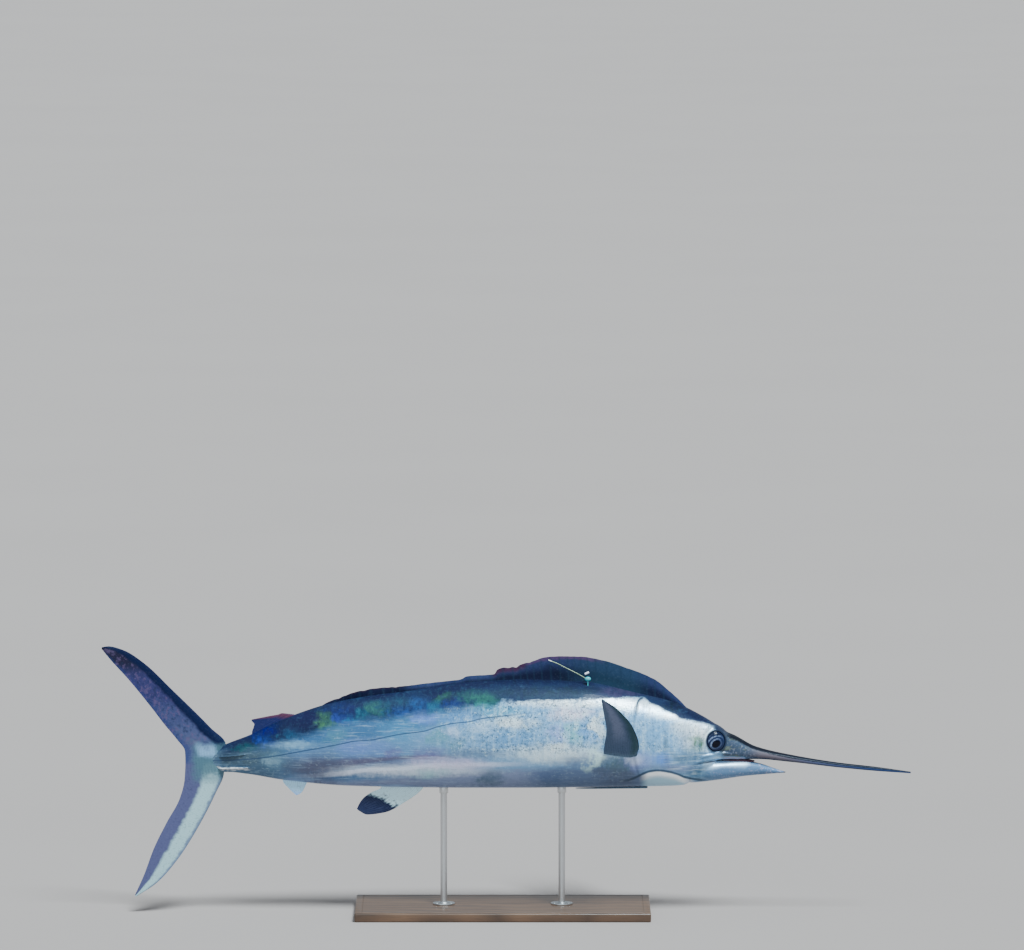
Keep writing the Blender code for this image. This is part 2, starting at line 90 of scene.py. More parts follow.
def call_it(name):
    """Names the primitive that was just added, and settles its place into its mesh."""
    piece = bpy.context.active_object
    piece.name = name
    piece.data.name = name
    bpy.ops.object.transform_apply(location=True, rotation=True, scale=True)
    return piece


def apply_modifiers(piece):
    take(piece)
    for modifier in list(piece.modifiers):
        bpy.ops.object.modifier_apply(modifier=modifier.name)
    return piece


def subdivide(piece, levels):
    smoothing = piece.modifiers.new("smoothing", "SUBSURF")
    smoothing.levels = levels
    smoothing.render_levels = levels
    return apply_modifiers(piece)


def open_mesh(piece):
    """Opens a piece's mesh for editing, with all of it selected."""
    take(piece)
    bpy.ops.object.mode_set(mode="EDIT")
    bpy.ops.mesh.select_all(action="SELECT")


def open_part(piece, kind, chosen):
    """Opens a piece's mesh for editing, with only the chosen points or faces selected."""
    open_mesh(piece)
    bpy.ops.mesh.select_mode(type=kind)
    bpy.ops.mesh.select_all(action="DESELECT")
    close_mesh()
    parts = {"VERT": piece.data.vertices, "FACE": piece.data.polygons}[kind]
    parts.foreach_set("select", chosen)
    bpy.ops.object.mode_set(mode="EDIT")


def close_mesh():
    bpy.ops.object.mode_set(mode="OBJECT")


def face_outwards(piece):
    open_mesh(piece)
    bpy.ops.mesh.normals_make_consistent(inside=False)
    close_mesh()


def shade(piece, sharpest):
    """Shades a piece smooth, apart from edges that turn by more than an angle in degrees."""
    take(piece)
    bpy.ops.object.shade_smooth_by_angle(angle=math.radians(sharpest))
    return piece


let_go()
print("nothing is held:", not bpy.context.selected_objects)

# %% [markdown]
# Points are read and written as one table of numbers, which is how a whole skin can be sculpted at once.

# %% Read and place points
def points_of(piece):
    points = np.empty(len(piece.data.vertices) * 3)
    piece.data.vertices.foreach_get("co", points)
    return points.reshape(-1, 3)


def place_points(piece, points):
    piece.data.vertices.foreach_set("co", np.ascontiguousarray(points, float).ravel())
    piece.data.update()


def count_triangles(piece):
    return sum(len(face.vertices) - 2 for face in piece.data.polygons)


measured = [part for part in bpy.data.objects if part.type == "MESH"]
print("measured parts together:", sum(count_triangles(part) for part in measured), "triangles")

# %% [markdown]
# ## Camera, floor and light
#
# A long lens far away flattens the fish, as a view from far off does. The camera stands six degrees above
# the fish, so the floor fills the whole background. The light is a large soft one from above and from the
# camera's side, with a pale world to fill the shadows, as in a plain studio.

# %% Camera, floor and light
CAMERA_AIM = Vector((0.015, 0.0, 1.1948))
CAMERA_DISTANCE = 23.04
CAMERA_RISE = math.radians(6.0)

camera_data = bpy.data.cameras.new("camera")
camera_data.lens = 300.0
camera_data.sensor_width = 36.0
camera_data.clip_end = 400.0
camera = bpy.data.objects.new("camera", camera_data)
bpy.context.scene.collection.objects.link(camera)
camera_back = Vector((0.0, -math.cos(CAMERA_RISE), math.sin(CAMERA_RISE)))
camera.location = CAMERA_AIM + camera_back * CAMERA_DISTANCE
camera.rotation_euler = (math.pi / 2 - CAMERA_RISE, 0.0, 0.0)
bpy.context.scene.camera = camera

bpy.ops.mesh.primitive_plane_add(size=300.0, location=(0.0, 0.0, 0.0))
floor = call_it("floor")

LIGHTS = {  # strength, softness in degrees, direction that the light comes from
    "key_light": (7.5, 20.0, (0.3, -0.46, 1.0)),
    "front_fill": (0.7, 60.0, (-0.25, -1.0, 0.22)),
}
for light_name, (strength, softness, source) in LIGHTS.items():
    light = bpy.data.lights.new(light_name, "SUN")
    light.energy = strength
    light.color = (0.8, 0.94, 1.0)
    light.angle = math.radians(softness)
    lamp = bpy.data.objects.new(light_name, light)
    lamp.rotation_euler = Vector(source).to_track_quat("Z", "Y").to_euler()
    bpy.context.scene.collection.objects.link(lamp)

world = bpy.data.worlds.new("studio")
world.use_nodes = True
world.node_tree.nodes["Background"].inputs["Color"].default_value = (0.8, 0.91, 1.0, 1.0)
world.node_tree.nodes["Background"].inputs["Strength"].default_value = 0.45
bpy.context.scene.world = world
print("camera stands", round(camera.location.z, 3), "m above the floor")

# %% [markdown]
# ## Curves through measured points
#
# Every long shape on the fish is a smooth run between a few measured stations. This helper draws the
# smoothest curve that never bulges past its stations, so that a straight stretch stays straight.

# %% Smooth curves
def smooth_rows(rows):
    """A function of place that runs smoothly through rows of (place, value, value, ...)."""
    table = np.array(sorted(rows), float)
    places, values = table[:, 0], table[:, 1:]
    widths = np.diff(places)[:, None]
    slopes = np.diff(values, axis=0) / widths
    tangents = np.zeros_like(values)
    tangents[0], tangents[-1] = slopes[0], slopes[-1]
    before, after = slopes[:-1], slopes[1:]
    near, far = 2 * widths[1:] + widths[:-1], widths[1:] + 2 * widths[:-1]
    same_way = before * after > 0
    safe_before = np.where(same_way, before, 1.0)
    safe_after = np.where(same_way, after, 1.0)
    harmonic = (near + far) / (near / safe_before + far / safe_after)
    tangents[1:-1] = np.where(same_way, harmonic, 0.0)

    def value_at(where):
        where = np.atleast_1d(np.asarray(where, float))
        i = np.clip(np.searchsorted(places, where) - 1, 0, len(places) - 2)
        width = (places[i + 1] - places[i])[:, None]
        t = np.clip((where - places[i])[:, None] / width, 0.0, 1.0)
        start = (1 + 2 * t) * (1 - t) ** 2 * values[i] + t * (1 - t) ** 2 * width * tangents[i]
        end = t * t * (3 - 2 * t) * values[i + 1] + t * t * (t - 1) * width * tangents[i + 1]
        return start + end

    return value_at


def edge_curve(points):
    """A smooth curve through (x, height) points, as a function of a share from 0 to 1."""
    steps = np.linalg.norm(np.diff(np.array(points, float), axis=0), axis=1)
    shares = np.concatenate(([0.0], np.cumsum(steps) / steps.sum()))
    return smooth_rows([(share, *point) for share, point in zip(shares, points)])


def ease(values, start, end):
    """0 before start, 1 after end, and a soft rise between."""
    t = np.clip((np.asarray(values, float) - start) / (end - start), 0.0, 1.0)
    return t * t * (3 - 2 * t)


print("ease half way:", float(ease(0.5, 0.0, 1.0)))

# %% [markdown]
# ## The body and the bill
#
# A marlin's body is a long spindle, deepest behind the head and flattened from side to side, and its upper
# jaw runs out into a round bill. It could be carved from a block, but a fish is really a row of cross
# sections, so the model grows the same way: a circle at the tail is extruded ring by ring to the bill's
# tip, each ring is resized to its section, a subdivision smooths the rings, and each point is then set on
# its exact section.

# %% Sections of the body and bill
BODY_SECTIONS = (  # place, back, underside, half width, fullness; 2 is an ellipse and more is boxier
    (-0.806, 0.096, 0.0405, 0.006, 2.0), (-0.755, 0.119, 0.0405, 0.015, 2.0),
    (-0.7, 0.14, 0.035, 0.0215, 2.0), (-0.604, 0.186, 0.019, 0.036, 2.0),
    (-0.428, 0.2405, 0.003, 0.056, 2.05), (-0.244, 0.266, -0.0014, 0.071, 2.1),
    (-0.1, 0.287, -0.0027, 0.08, 2.1), (0.05, 0.2945, -0.0027, 0.085, 2.1), (0.2, 0.29, -0.001, 0.086, 2.1),
    (0.345, 0.26, 0.001, 0.082, 2.1), (0.45, 0.233, 0.003, 0.073, 2.15), (0.525, 0.1975, 0.016, 0.058, 2.4),
    (0.577, 0.164, 0.0735, 0.046, 3.0), (0.6, 0.1485, 0.0747, 0.04, 2.8),
    (0.617, 0.1415, 0.0757, 0.035, 2.6), (0.675, 0.111, 0.0762, 0.0215, 2.1),
    (0.77, 0.088, 0.068, 0.0125, 2.0), (0.9, 0.0665, 0.053, 0.0085, 2.0), (1.0, 0.055, 0.0435, 0.0058, 2.0),
    (1.0955, 0.0415, 0.037, 0.002, 2.0),
)
WIDEST_SHARE = 0.52  # how far up a section is widest
body_at = smooth_rows(BODY_SECTIONS)


def stations(*lengths):
    """Places along the fish, from (start, end, spacing) lengths that follow on from each other."""
    places = [lengths[0][0]]
    for start, end, spacing in lengths:
        steps = round((end - start) / spacing)
        places += [start + (end - start) * k / steps for k in range(1, steps + 1)]
    return places


def set_on_sections(piece, section_at):
    """Moves each point sideways and up or down onto the section at its own place along the fish."""
    points = points_of(piece)
    top, bottom, half_width, fullness = section_at(points[:, 0]).T
    waist = bottom + WIDEST_SHARE * (top - bottom)
    rise = points[:, 2] - BELLY - waist
    reach = np.where(rise > 0, top - waist, waist - bottom)
    turn = np.arctan2(rise / reach, points[:, 1] / half_width)
    across, up = np.cos(turn), np.sin(turn)
    points[:, 1] = half_width * np.sign(across) * np.abs(across) ** (2 / fullness)
    points[:, 2] = BELLY + waist + reach * np.sign(up) * np.abs(up) ** (2 / fullness)
    place_points(piece, points)


def grow_along(name, section_at, places, around, levels):
    """A closed solid grown ring by ring through its sections, smoothed and set on them."""
    first = section_at(places[0])[0]
    middle = BELLY + (first[0] + first[1]) / 2
    bpy.ops.mesh.primitive_circle_add(
        vertices=around, radius=1.0, location=(places[0], 0.0, middle),
        rotation=(0.0, math.pi / 2, 0.0), scale=((first[0] - first[1]) / 2, first[2], 1.0),
    )
    piece = call_it(name)
    open_mesh(piece)
    for start, end in zip(places, places[1:]):
        old, new = section_at(start)[0], section_at(end)[0]
        rise = (new[0] + new[1] - old[0] - old[1]) / 2
        bpy.ops.mesh.extrude_region_move(TRANSFORM_OT_translate={"value": (end - start, 0.0, rise)})
        bpy.ops.transform.resize(
            value=(1.0, new[2] / old[2], (new[0] - new[1]) / (old[0] - old[1])),
            center_override=(end, 0.0, BELLY + (new[0] + new[1]) / 2),
        )
    close_mesh()
    subdivide(piece, levels)
    set_on_sections(piece, section_at)
    close_ends(piece)
    return piece


def close_ends(piece):
    """Fills the open ring at each end, and turns all faces outwards."""
    open_mesh(piece)
    bpy.ops.mesh.select_all(action="DESELECT")
    bpy.ops.mesh.select_mode(type="EDGE")
    bpy.ops.mesh.select_non_manifold()
    bpy.ops.mesh.fill_holes(sides=0)
    close_mesh()
    face_outwards(piece)


# %% [markdown]
# The rings stand close together at the head, where the shape changes fastest, and far apart on the bill and
# the trunk.

# %% Grow the body
let_go()
body_places = stations(
    (-0.806, 0.31, 0.031), (0.31, 0.69, 0.01), (0.69, 1.0955, 0.0225),
)
skin = grow_along("marlin_skin", body_at, body_places, around=28, levels=2)
print("body:", count_triangles(skin), "triangles")

# %% [markdown]
# ## The lower jaw
#
# The lower jaw is a short wedge that leaves the throat below the eye and ends in a point under the bill,
# with the mouth a little open in front. It is grown in the same way, from inside the throat, and joined
# later.

# %% Grow the lower jaw
JAW_SECTIONS = (
    (0.49, 0.074, 0.011, 0.044, 2.3), (0.53, 0.0744, 0.015, 0.047, 2.3), (0.56, 0.0765, 0.0185, 0.043, 2.4),
    (0.6, 0.0752, 0.024, 0.0335, 2.4), (0.641, 0.0728, 0.0297, 0.024, 2.3),
    (0.684, 0.065, 0.0335, 0.016, 2.1), (0.727, 0.0505, 0.037, 0.0088, 2.0),
    (0.756, 0.0412, 0.039, 0.0012, 2.0),
)
jaw_at = smooth_rows(JAW_SECTIONS)
jaw = grow_along("jaw", jaw_at, stations((0.49, 0.756, 0.0102)), around=20, levels=2)
print("jaw:", count_triangles(jaw), "triangles")

# %% [markdown]
# ## Fins as blades
#
# A marlin's fin is a thin membrane stretched over bony rays, thicker and rounded along its front edge. Each
# one starts as a flat grid: one direction of the grid runs out along the fin and the other runs across it.
# Solidify gives the grid two sides, and then every point is carried to its place between the fin's two
# measured edges. The same two shares, out and across, are kept for the rays that are painted on later.

# %% Blade maker
BLADE_EDGE = 0.0008  # thinnest edge of any blade
fin_records = []  # for each blade: its points, shares out along it, shares across it, and its kind


def rounded_front(across):
    """Half thickness over a blade: a rounded front edge that thins to the back."""
    nose, thin = 0.22, 0.9
    rise = np.sqrt(1 - (1 - np.minimum(across / nose, 1.0)) ** 2)
    return rise * (1 - thin * np.maximum(0.0, across - nose) / (1 - nose))


def between(front, rear, out, across):
    """Spots between a blade's two measured edges."""
    edge, back = edge_curve(front)(out), edge_curve(rear)(out)
    return edge + (back - edge) * across[:, None]


def half_blade(thickness, across, flare, ray_count, ray_height):
    """Half the thickness: a rounded front edge, a root that swells, and fine ridges for the rays."""
    half = np.maximum(thickness / 2 * rounded_front(across), BLADE_EDGE / 2)
    arch = np.sin(math.pi * across) ** 0.5
    return half + flare * arch + ray_height * np.sin(math.pi * ray_count * across) ** 2 * arch


def add_blade(name, kind, steps, shape):
    """A solid blade. shape turns (out, across, side) tables into places."""
    let_go()
    bpy.ops.mesh.primitive_grid_add(
        x_subdivisions=steps[0], y_subdivisions=steps[1], size=1.0, location=(0.5, 0.5, 0.0),
    )
    blade = call_it(name)
    sides = blade.modifiers.new("sides", "SOLIDIFY")
    sides.thickness = 0.2
    sides.offset = 0.0
    apply_modifiers(blade)
    flat = points_of(blade)
    out, across, side = np.clip(flat[:, 0], 0, 1), np.clip(flat[:, 1], 0, 1), np.sign(flat[:, 2])
    places, out, across = shape(out, across, side)
    place_points(blade, places)
    face_outwards(blade)
    fin_records.append((places, out, across, kind))
    blade["kind"] = kind
    return blade


def between_edges(front, rear, thick):
    """The shape of a small blade in the middle plane. thick is its thickness at the root and the tip."""

    def shape(out, across, side):
        across = across ** 1.35
        spot = between(front, rear, out, across)
        flare = 0.003 * np.maximum(0.0, 1 - out / 0.45) ** 2
        half = half_blade(thick[0] + (thick[1] - thick[0]) * out, across, flare, 9, 0.0002)
        return np.stack([spot[:, 0], side * half, spot[:, 1] + BELLY], axis=1), out, across

    return shape


# %% [markdown]
# ## The tail fin
#
# Both lobes of the tail are one stiff crescent. Modelled as a single blade that runs from the lower tip
# through the tail stalk to the upper tip, it has no joint in the fork. It is thickest at the stalk.

# %% Tail fin
TAIL_FRONT = (
    (-1.006, -0.301), (-0.95, -0.264), (-0.89, -0.196), (-0.838, -0.114), (-0.786, -0.013), (-0.766, 0.034),
    (-0.763, 0.07), (-0.76, 0.115), (-0.802, 0.162), (-0.904, 0.264), (-0.985, 0.341), (-1.038, 0.374),
    (-1.078, 0.384), (-1.095, 0.381),
)
TAIL_REAR = (
    (-1.008, -0.296), (-0.983, -0.24), (-0.957, -0.17), (-0.922, -0.099), (-0.885, -0.03), (-0.8725, 0.02),
    (-0.87, 0.069), (-0.871, 0.097), (-0.893, 0.13), (-0.925, 0.169), (-0.963, 0.219), (-1.027, 0.298),
    (-1.068, 0.343), (-1.0955, 0.3765),
)
STALK_MIDDLE = 0.069  # height of the fork over the belly line
LOBE_LENGTH = 0.32


def tail_shape(out, across, side):
    """Out runs from the lower tip, 0, to the upper tip, 1. What is kept runs from the stalk to either tip."""
    across = across ** 1.3
    spot = between(TAIL_FRONT, TAIL_REAR, out, across)
    lobe = np.clip(np.abs(spot[:, 1] - STALK_MIDDLE) / LOBE_LENGTH, 0.0, 1.0)
    half = half_blade(0.015 * (1 - lobe) ** 1.4 + 0.0026, across, 0.0, 11, 0.00022)
    return np.stack([spot[:, 0], side * half, spot[:, 1] + BELLY], axis=1), lobe, across


tail = add_blade("tail", "tail", (96, 44), tail_shape)
print("tail fin:", count_triangles(tail), "triangles")

# %% [markdown]
# ## The first dorsal fin
#
# This fin is tall in front and then runs low along most of the back. Behind the tall lobe its membrane
# hangs between the spines, so its edge is scalloped, and in the lowest stretch it lies in loose folds. The
# spines are fine ridges on both sides.

# %% First dorsal fin
DORSAL_CREST = (
    (0.4885, 0.216), (0.4685, 0.237), (0.436, 0.2661), (0.4064, 0.2905), (0.3686, 0.3095), (0.3286, 0.3247),
    (0.2673, 0.3451), (0.205, 0.356), (0.1445, 0.357), (0.1094, 0.3543), (0.0716, 0.3421), (0.05, 0.3367),
    (0.0284, 0.3285), (-0.0041, 0.3258), (-0.02, 0.32), (-0.029, 0.3075), (-0.0716, 0.3041),
    (-0.104, 0.3014), (-0.117, 0.2945), (-0.1526, 0.2892), (-0.206, 0.283), (-0.2876, 0.2742),
    (-0.3416, 0.2701), (-0.3956, 0.262), (-0.4226, 0.254), (-0.4496, 0.243), (-0.478, 0.232),
    (-0.505, 0.216),
)
DORSAL_BURIED = 0.012
DORSAL_SPINES = 44


def dorsal_shape(out, across, side):
    """Here out runs along the back from the front, and across runs up from the root to the crest."""
    crest = edge_curve(DORSAL_CREST)(out)
    root = np.stack([crest[:, 0], body_at(crest[:, 0])[:, 0] - DORSAL_BURIED], axis=1)
    low = 1 - ease(crest[:, 0], -0.05, 0.03)
    spines = DORSAL_SPINES * out + 0.5 * np.sin(17.0 * out) + 0.3 * np.sin(41.0 * out)
    torn = np.exp(-((crest[:, 0] - 0.03) / 0.03) ** 2)
    folded = 1 - ease(crest[:, 0], -0.3, -0.27)
    dip = 0.0006 + 0.004 * torn + 0.0012 * folded
    dip = dip * (0.55 + 0.45 * np.sin(2.3 * np.round(spines + 0.5)))
    spot = root + (crest - root) * across[:, None]
    spot[:, 1] -= dip * np.sin(math.pi * spines) ** 2 * across ** 3
    free = np.maximum(0.0, across - 0.15)
    spot[:, 0] -= 0.0045 * across * ease(out, 0.05, 0.3)
    fold = 0.0034 * low * free * np.sin(47.0 * out) + 0.003 * free * np.sin(11.0 * out + 0.8)
    half = 0.008 / 2 * (1 - 0.85 * across)
    half = half + 0.003 * np.maximum(0.0, 1 - across / 0.35) ** 2
    spine = 0.0004 * np.cos(math.pi * spines) ** 8 * (1 - 0.6 * across)
    places = np.stack([spot[:, 0], fold + side * (half + spine), spot[:, 1] + BELLY], axis=1)
    return places, spines / DORSAL_SPINES, across


dorsal = add_blade("dorsal", "dorsal", (312, 18), dorsal_shape)
print("dorsal fin:", count_triangles(dorsal), "triangles")

# %% [markdown]
# ## The small fins near the tail, and the anal fins
#
# Two little finlets sit above and below the tail stalk, and the first anal fin folds back under the belly.

# %% Small fins
SMALL_FINS = {  # kind, front edge, rear edge, thickness at root and tip
    "second_dorsal": (
        "second_dorsal",
        ((-0.56, 0.178), (-0.574, 0.198), (-0.592, 0.2), (-0.609, 0.2015), (-0.616, 0.1985),
         (-0.64, 0.194), (-0.668, 0.1885), (-0.69, 0.184)),
        ((-0.69, 0.126), (-0.689, 0.15), (-0.685, 0.163), (-0.683, 0.171), (-0.687, 0.177),
         (-0.6905, 0.18)),
        (0.007, 0.0012),
    ),
    "second_anal": (
        "pale",
        ((-0.536, 0.026), (-0.545, 0.002), (-0.556, -0.016), (-0.567, -0.0225)),
        ((-0.604, 0.04), (-0.606, 0.018), (-0.59, -0.004), (-0.5715, -0.0215)),
        (0.007, 0.0012),
    ),
    "anal": (
        "anal",
        ((-0.212, 0.018), (-0.232, -0.01), (-0.276, -0.042), (-0.33, -0.07), (-0.378, -0.076),
         (-0.402, -0.064)),
        ((-0.334, 0.02), (-0.342, -0.004), (-0.364, -0.014), (-0.388, -0.031), (-0.4, -0.048),
         (-0.4055, -0.06)),
        (0.008, 0.0014),
    ),
}
small_fins = []
for fin_name, (kind, front, rear, thick) in SMALL_FINS.items():
    small_fins.append(add_blade(fin_name, kind, (34, 26), between_edges(front, rear, thick)))
print("small fins:", [fin.name for fin in small_fins])

# %% [markdown]
# ## The pectoral fins
#
# A black marlin's pectoral fin is a rigid sickle that can't be folded flat. It stands out and up from
# behind the gill cover. The right one is made, and the left one is its mirror image with a mesh of its own.

# %% Pectoral fins
PECTORAL_BASE = np.array((0.306, -0.074, 0.096 + BELLY))
PECTORAL_SPAN = np.array((-0.17, -0.789, 0.59)) / np.linalg.norm((-0.17, -0.789, 0.59))
PECTORAL_CHORD = np.array((1.0, 0.0, 0.0))
PECTORAL_FRONT = (  # along the chord, along the span
    (0.04, -0.02), (0.049, 0.01), (0.061, 0.055), (0.0635, 0.1), (0.059, 0.172), (0.047, 0.222),
    (0.029, 0.273), (0.004, 0.307),
)
PECTORAL_REAR = (
    (-0.048, -0.02), (-0.043, 0.005), (-0.032, 0.06), (-0.0185, 0.115), (-0.01, 0.17), (-0.0065, 0.222),
    (-0.003, 0.27), (-0.0005, 0.304),
)


def pectoral_shape(out, across, side):
    across = across ** 1.35
    spot = between(PECTORAL_FRONT, PECTORAL_REAR, out, across)
    normal = np.cross(PECTORAL_SPAN, PECTORAL_CHORD)
    normal = normal / np.linalg.norm(normal)
    flare = 0.005 * np.maximum(0.0, 1 - out / 0.16) ** 2
    half = half_blade(0.011 + (0.0018 - 0.011) * out, across, flare, 12, 0.00025)
    cup = 0.006 * np.sin(math.pi * np.clip(across, 0, 1)) * ease(out, 0.1, 0.5)
    places = PECTORAL_BASE + spot[:, :1] * PECTORAL_CHORD + spot[:, 1:] * PECTORAL_SPAN
    places = places + (side * half + cup)[:, None] * normal
    return places, out, across


def mirrored(piece, name):
    """The same piece for the fish's other side, with its own mesh and its faces still outwards."""
    take(piece)
    bpy.ops.object.duplicate(linked=False)
    copy = call_it(name)
    bpy.ops.transform.mirror(constraint_axis=(False, True, False), center_override=(0.0, 0.0, 0.0))
    bpy.ops.object.transform_apply(location=True, rotation=True, scale=True)
    face_outwards(copy)
    return copy


pectoral_right = add_blade("pectoral_right", "pectoral", (44, 30), pectoral_shape)
pectoral_left = mirrored(pectoral_right, "pectoral_left")
places, out, across, kind = fin_records[-1]
fin_records.append((places * (1, -1, 1), out, across, kind))
print("pectoral fins:", count_triangles(pectoral_right), "triangles each")

# %% [markdown]
# ## Pelvic fins and keels
#
# Under the belly two narrow pelvic fins lie folded back in a shallow groove. A long cone, flattened and
# curved by a subdivision, has their shape. Two keels stiffen each side of the tail stalk: a long flat ball
# pushed right through the stalk shows as one low ridge on either side, so one ball makes a pair.

# %% Pelvic fins and keels
PELVIC_ROOT = Vector((0.384, -0.0105, -0.0002 + BELLY))
PELVIC_TIP = Vector((0.186, -0.0085, -0.0042 + BELLY))
PELVIC_HALF_WIDE = 0.0056
PELVIC_HALF_THICK = 0.0026
KEELS = {"upper": (0.0885, math.radians(6.3)), "lower": (0.0542, math.radians(2.7))}  # height, slope


def add_pelvic_fin():
    let_go()
    reach = PELVIC_TIP - PELVIC_ROOT
    bpy.ops.mesh.primitive_cone_add(
        vertices=12, radius1=1.0, radius2=0.3, depth=reach.length, end_fill_type="NGON",
        location=(PELVIC_ROOT + PELVIC_TIP) / 2, rotation=reach.to_track_quat("Z", "Y").to_euler(),
        scale=(PELVIC_HALF_WIDE, PELVIC_HALF_THICK, 1.0),
    )
    fin = call_it("pelvic_right")
    for share in (0.08, 0.92):
        open_mesh(fin)
        bpy.ops.mesh.bisect(plane_co=PELVIC_ROOT + reach * share, plane_no=reach.normalized())
        close_mesh()
    return subdivide(fin, 2)


def add_keel_pair(level):
    let_go()
    height, slope = KEELS[level]
    bpy.ops.mesh.primitive_uv_sphere_add(
        segments=40, ring_count=20, radius=1.0, location=(-0.732, 0.0, height + BELLY),
        rotation=(0.0, -slope, 0.0), scale=(0.053, 0.025, 0.0034),
    )
    return call_it("keels_" + level)


pelvic_right = add_pelvic_fin()
pelvic_left = mirrored(pelvic_right, "pelvic_left")
keel_pairs = [add_keel_pair(level) for level in KEELS]
print("pelvic fin:", count_triangles(pelvic_right), "triangles;", "keel pairs:", len(keel_pairs))

# %% [markdown]
# ## One skin
#
# Now the pieces are grown together. A Boolean union keeps only the outer surface, so nothing is left
# inside. Before it, the head's faces are subdivided once more round each eye, which needs finer points.
# Each piece's faces first take a number for their kind of finish, which the union carries over.

# %% Grow the pieces together
KINDS = ("skin", "mouth", "dorsal", "second_dorsal", "tail", "pectoral", "anal", "pale")


def mark_kind(piece, kind):
    """Gives a piece one empty material slot for each kind, and its faces the number of their own."""
    piece.data.materials.clear()
    for _ in KINDS:
        piece.data.materials.append(None)
    numbers = np.full(len(piece.data.polygons), KINDS.index(kind), np.int32)
    piece.data.polygons.foreach_set("material_index", numbers)


def refine(piece, centre, radius):
    """Subdivides the faces near a point once."""
    centre = np.array(centre)
    near = np.linalg.norm(points_of(piece) - centre, axis=1) < radius
    open_part(piece, "VERT", near)
    bpy.ops.mesh.subdivide(number_cuts=1)
    close_mesh()


def combine(piece, other, operation):
    """Joins the other solid to the piece, or cuts it away, and merges points that coincide."""
    change = piece.modifiers.new("combine", "BOOLEAN")
    change.operation = operation
    change.object = other
    change.solver = "EXACT"
    apply_modifiers(piece)
    bpy.data.objects.remove(other)
    open_mesh(piece)
    bpy.ops.mesh.remove_doubles(threshold=0.00002)
    close_mesh()


def add_mouth_lining():
    """The dark floor and roof of the mouth, just inside the lips."""
    let_go()
    bpy.ops.mesh.primitive_uv_sphere_add(
        segments=32, ring_count=16, radius=1.0, location=(0.61, 0.0, 0.0735 + BELLY),
        rotation=(0.0, math.radians(2.5), 0.0), scale=(0.064, 0.0165, 0.0062),
    )
    return call_it("mouth_lining")


EYE_SPOT = Vector((0.567, -0.0455, 0.1305 + BELLY))
for side in (1, -1):
    refine(skin, (EYE_SPOT.x, EYE_SPOT.y * side, EYE_SPOT.z), 0.042)
lining = add_mouth_lining()
grown = {
    jaw: "skin", lining: "mouth", tail: "tail", dorsal: "dorsal", pectoral_right: "pectoral",
    pectoral_left: "pectoral", pelvic_right: "pectoral", pelvic_left: "pectoral",
}
grown.update({pair: "skin" for pair in keel_pairs})
grown.update({fin: fin["kind"] for fin in small_fins})
mark_kind(skin, "skin")
for piece, kind in grown.items():
    mark_kind(piece, kind)
    combine(skin, piece, "UNION")
print("one skin:", count_triangles(skin), "triangles")

# %% [markdown]
# ## Sculpting the head
#
# The gill cover, the fold of the throat, the corner of the mouth and the rim of the eye are all low relief
# on the same skin. On a real fish they are bone plates and creases under it. They could be cut, but
# pressing them in and out along the skin's own direction keeps the surface whole, as a modeller's thumb
# does with clay. First the crease where the jaw joins the throat is smoothed away.

# %% Smooth the throat
def lies_on(piece, kind):
    """Which points touch faces of one kind."""
    numbers = np.empty(len(piece.data.polygons), np.int32)
    piece.data.polygons.foreach_get("material_index", numbers)
    touches = np.zeros(len(piece.data.vertices), bool)
    loops = np.empty(len(piece.data.loops), np.int32)
    piece.data.loops.foreach_get("vertex_index", loops)
    sizes = np.empty(len(piece.data.polygons), np.int32)
    piece.data.polygons.foreach_get("loop_total", sizes)
    touches[loops[np.repeat(numbers == KINDS.index(kind), sizes)]] = True
    return touches


def seen_height(points):
    """Height above the belly line, as it seems from a little above the side."""
    return points[:, 2] - BELLY - LOOK_DOWN * np.abs(points[:, 1])


def smooth_where(piece, weights, factor, rounds):
    """Relaxes the points by their weights."""
    group = piece.vertex_groups.new(name="soft")
    for step in range(1, 11):
        chosen = np.flatnonzero(np.round(weights * 10) == step)
        group.add([int(i) for i in chosen], step / 10, "REPLACE")
    relax = piece.modifiers.new("relax", "SMOOTH")
    relax.factor = factor
    relax.iterations = rounds
    relax.vertex_group = "soft"
    apply_modifiers(piece)
    piece.vertex_groups.clear()


points = points_of(skin)
throat = ease(points[:, 0], 0.48, 0.5) * (1 - ease(points[:, 0], 0.56, 0.59))
throat = throat * (1 - ease(seen_height(points), 0.08, 0.095))
smooth_where(skin, throat * lies_on(skin, "skin"), 0.5, 14)
print("relaxed points:", int((throat > 0.05).sum()))

# %% [markdown]
# ## Folds, plates and rims
#
# Each mark is a line along the side of the head, given by a few measured points. The distance from that
# line says how far a point is pressed: a groove dips along it, and a plate stands proud on one side of it.

# %% Lines on the skin
def from_path(points, path):
    """For each point, its signed distance from a line of (x, height) points, and how far along it lies."""
    spots = np.stack([points[:, 0], seen_height(points)], axis=1)
    best = np.full(len(spots), 9.0)
    sign = np.ones(len(spots))
    share = np.zeros(len(spots))
    smooth = edge_curve(path)(np.linspace(0.0, 1.0, 40))
    for k in range(len(smooth) - 1):
        start, run = smooth[k], smooth[k + 1] - smooth[k]
        along = np.clip(((spots - start) @ run) / (run @ run), 0.0, 1.0)
        gap = spots - start - along[:, None] * run
        distance = np.linalg.norm(gap, axis=1)
        nearer = distance < best
        best = np.where(nearer, distance, best)
        sign = np.where(nearer, np.sign(run[0] * gap[:, 1] - run[1] * gap[:, 0]), sign)
        share = np.where(nearer, (k + along) / (len(smooth) - 1), share)
    return best * sign, share


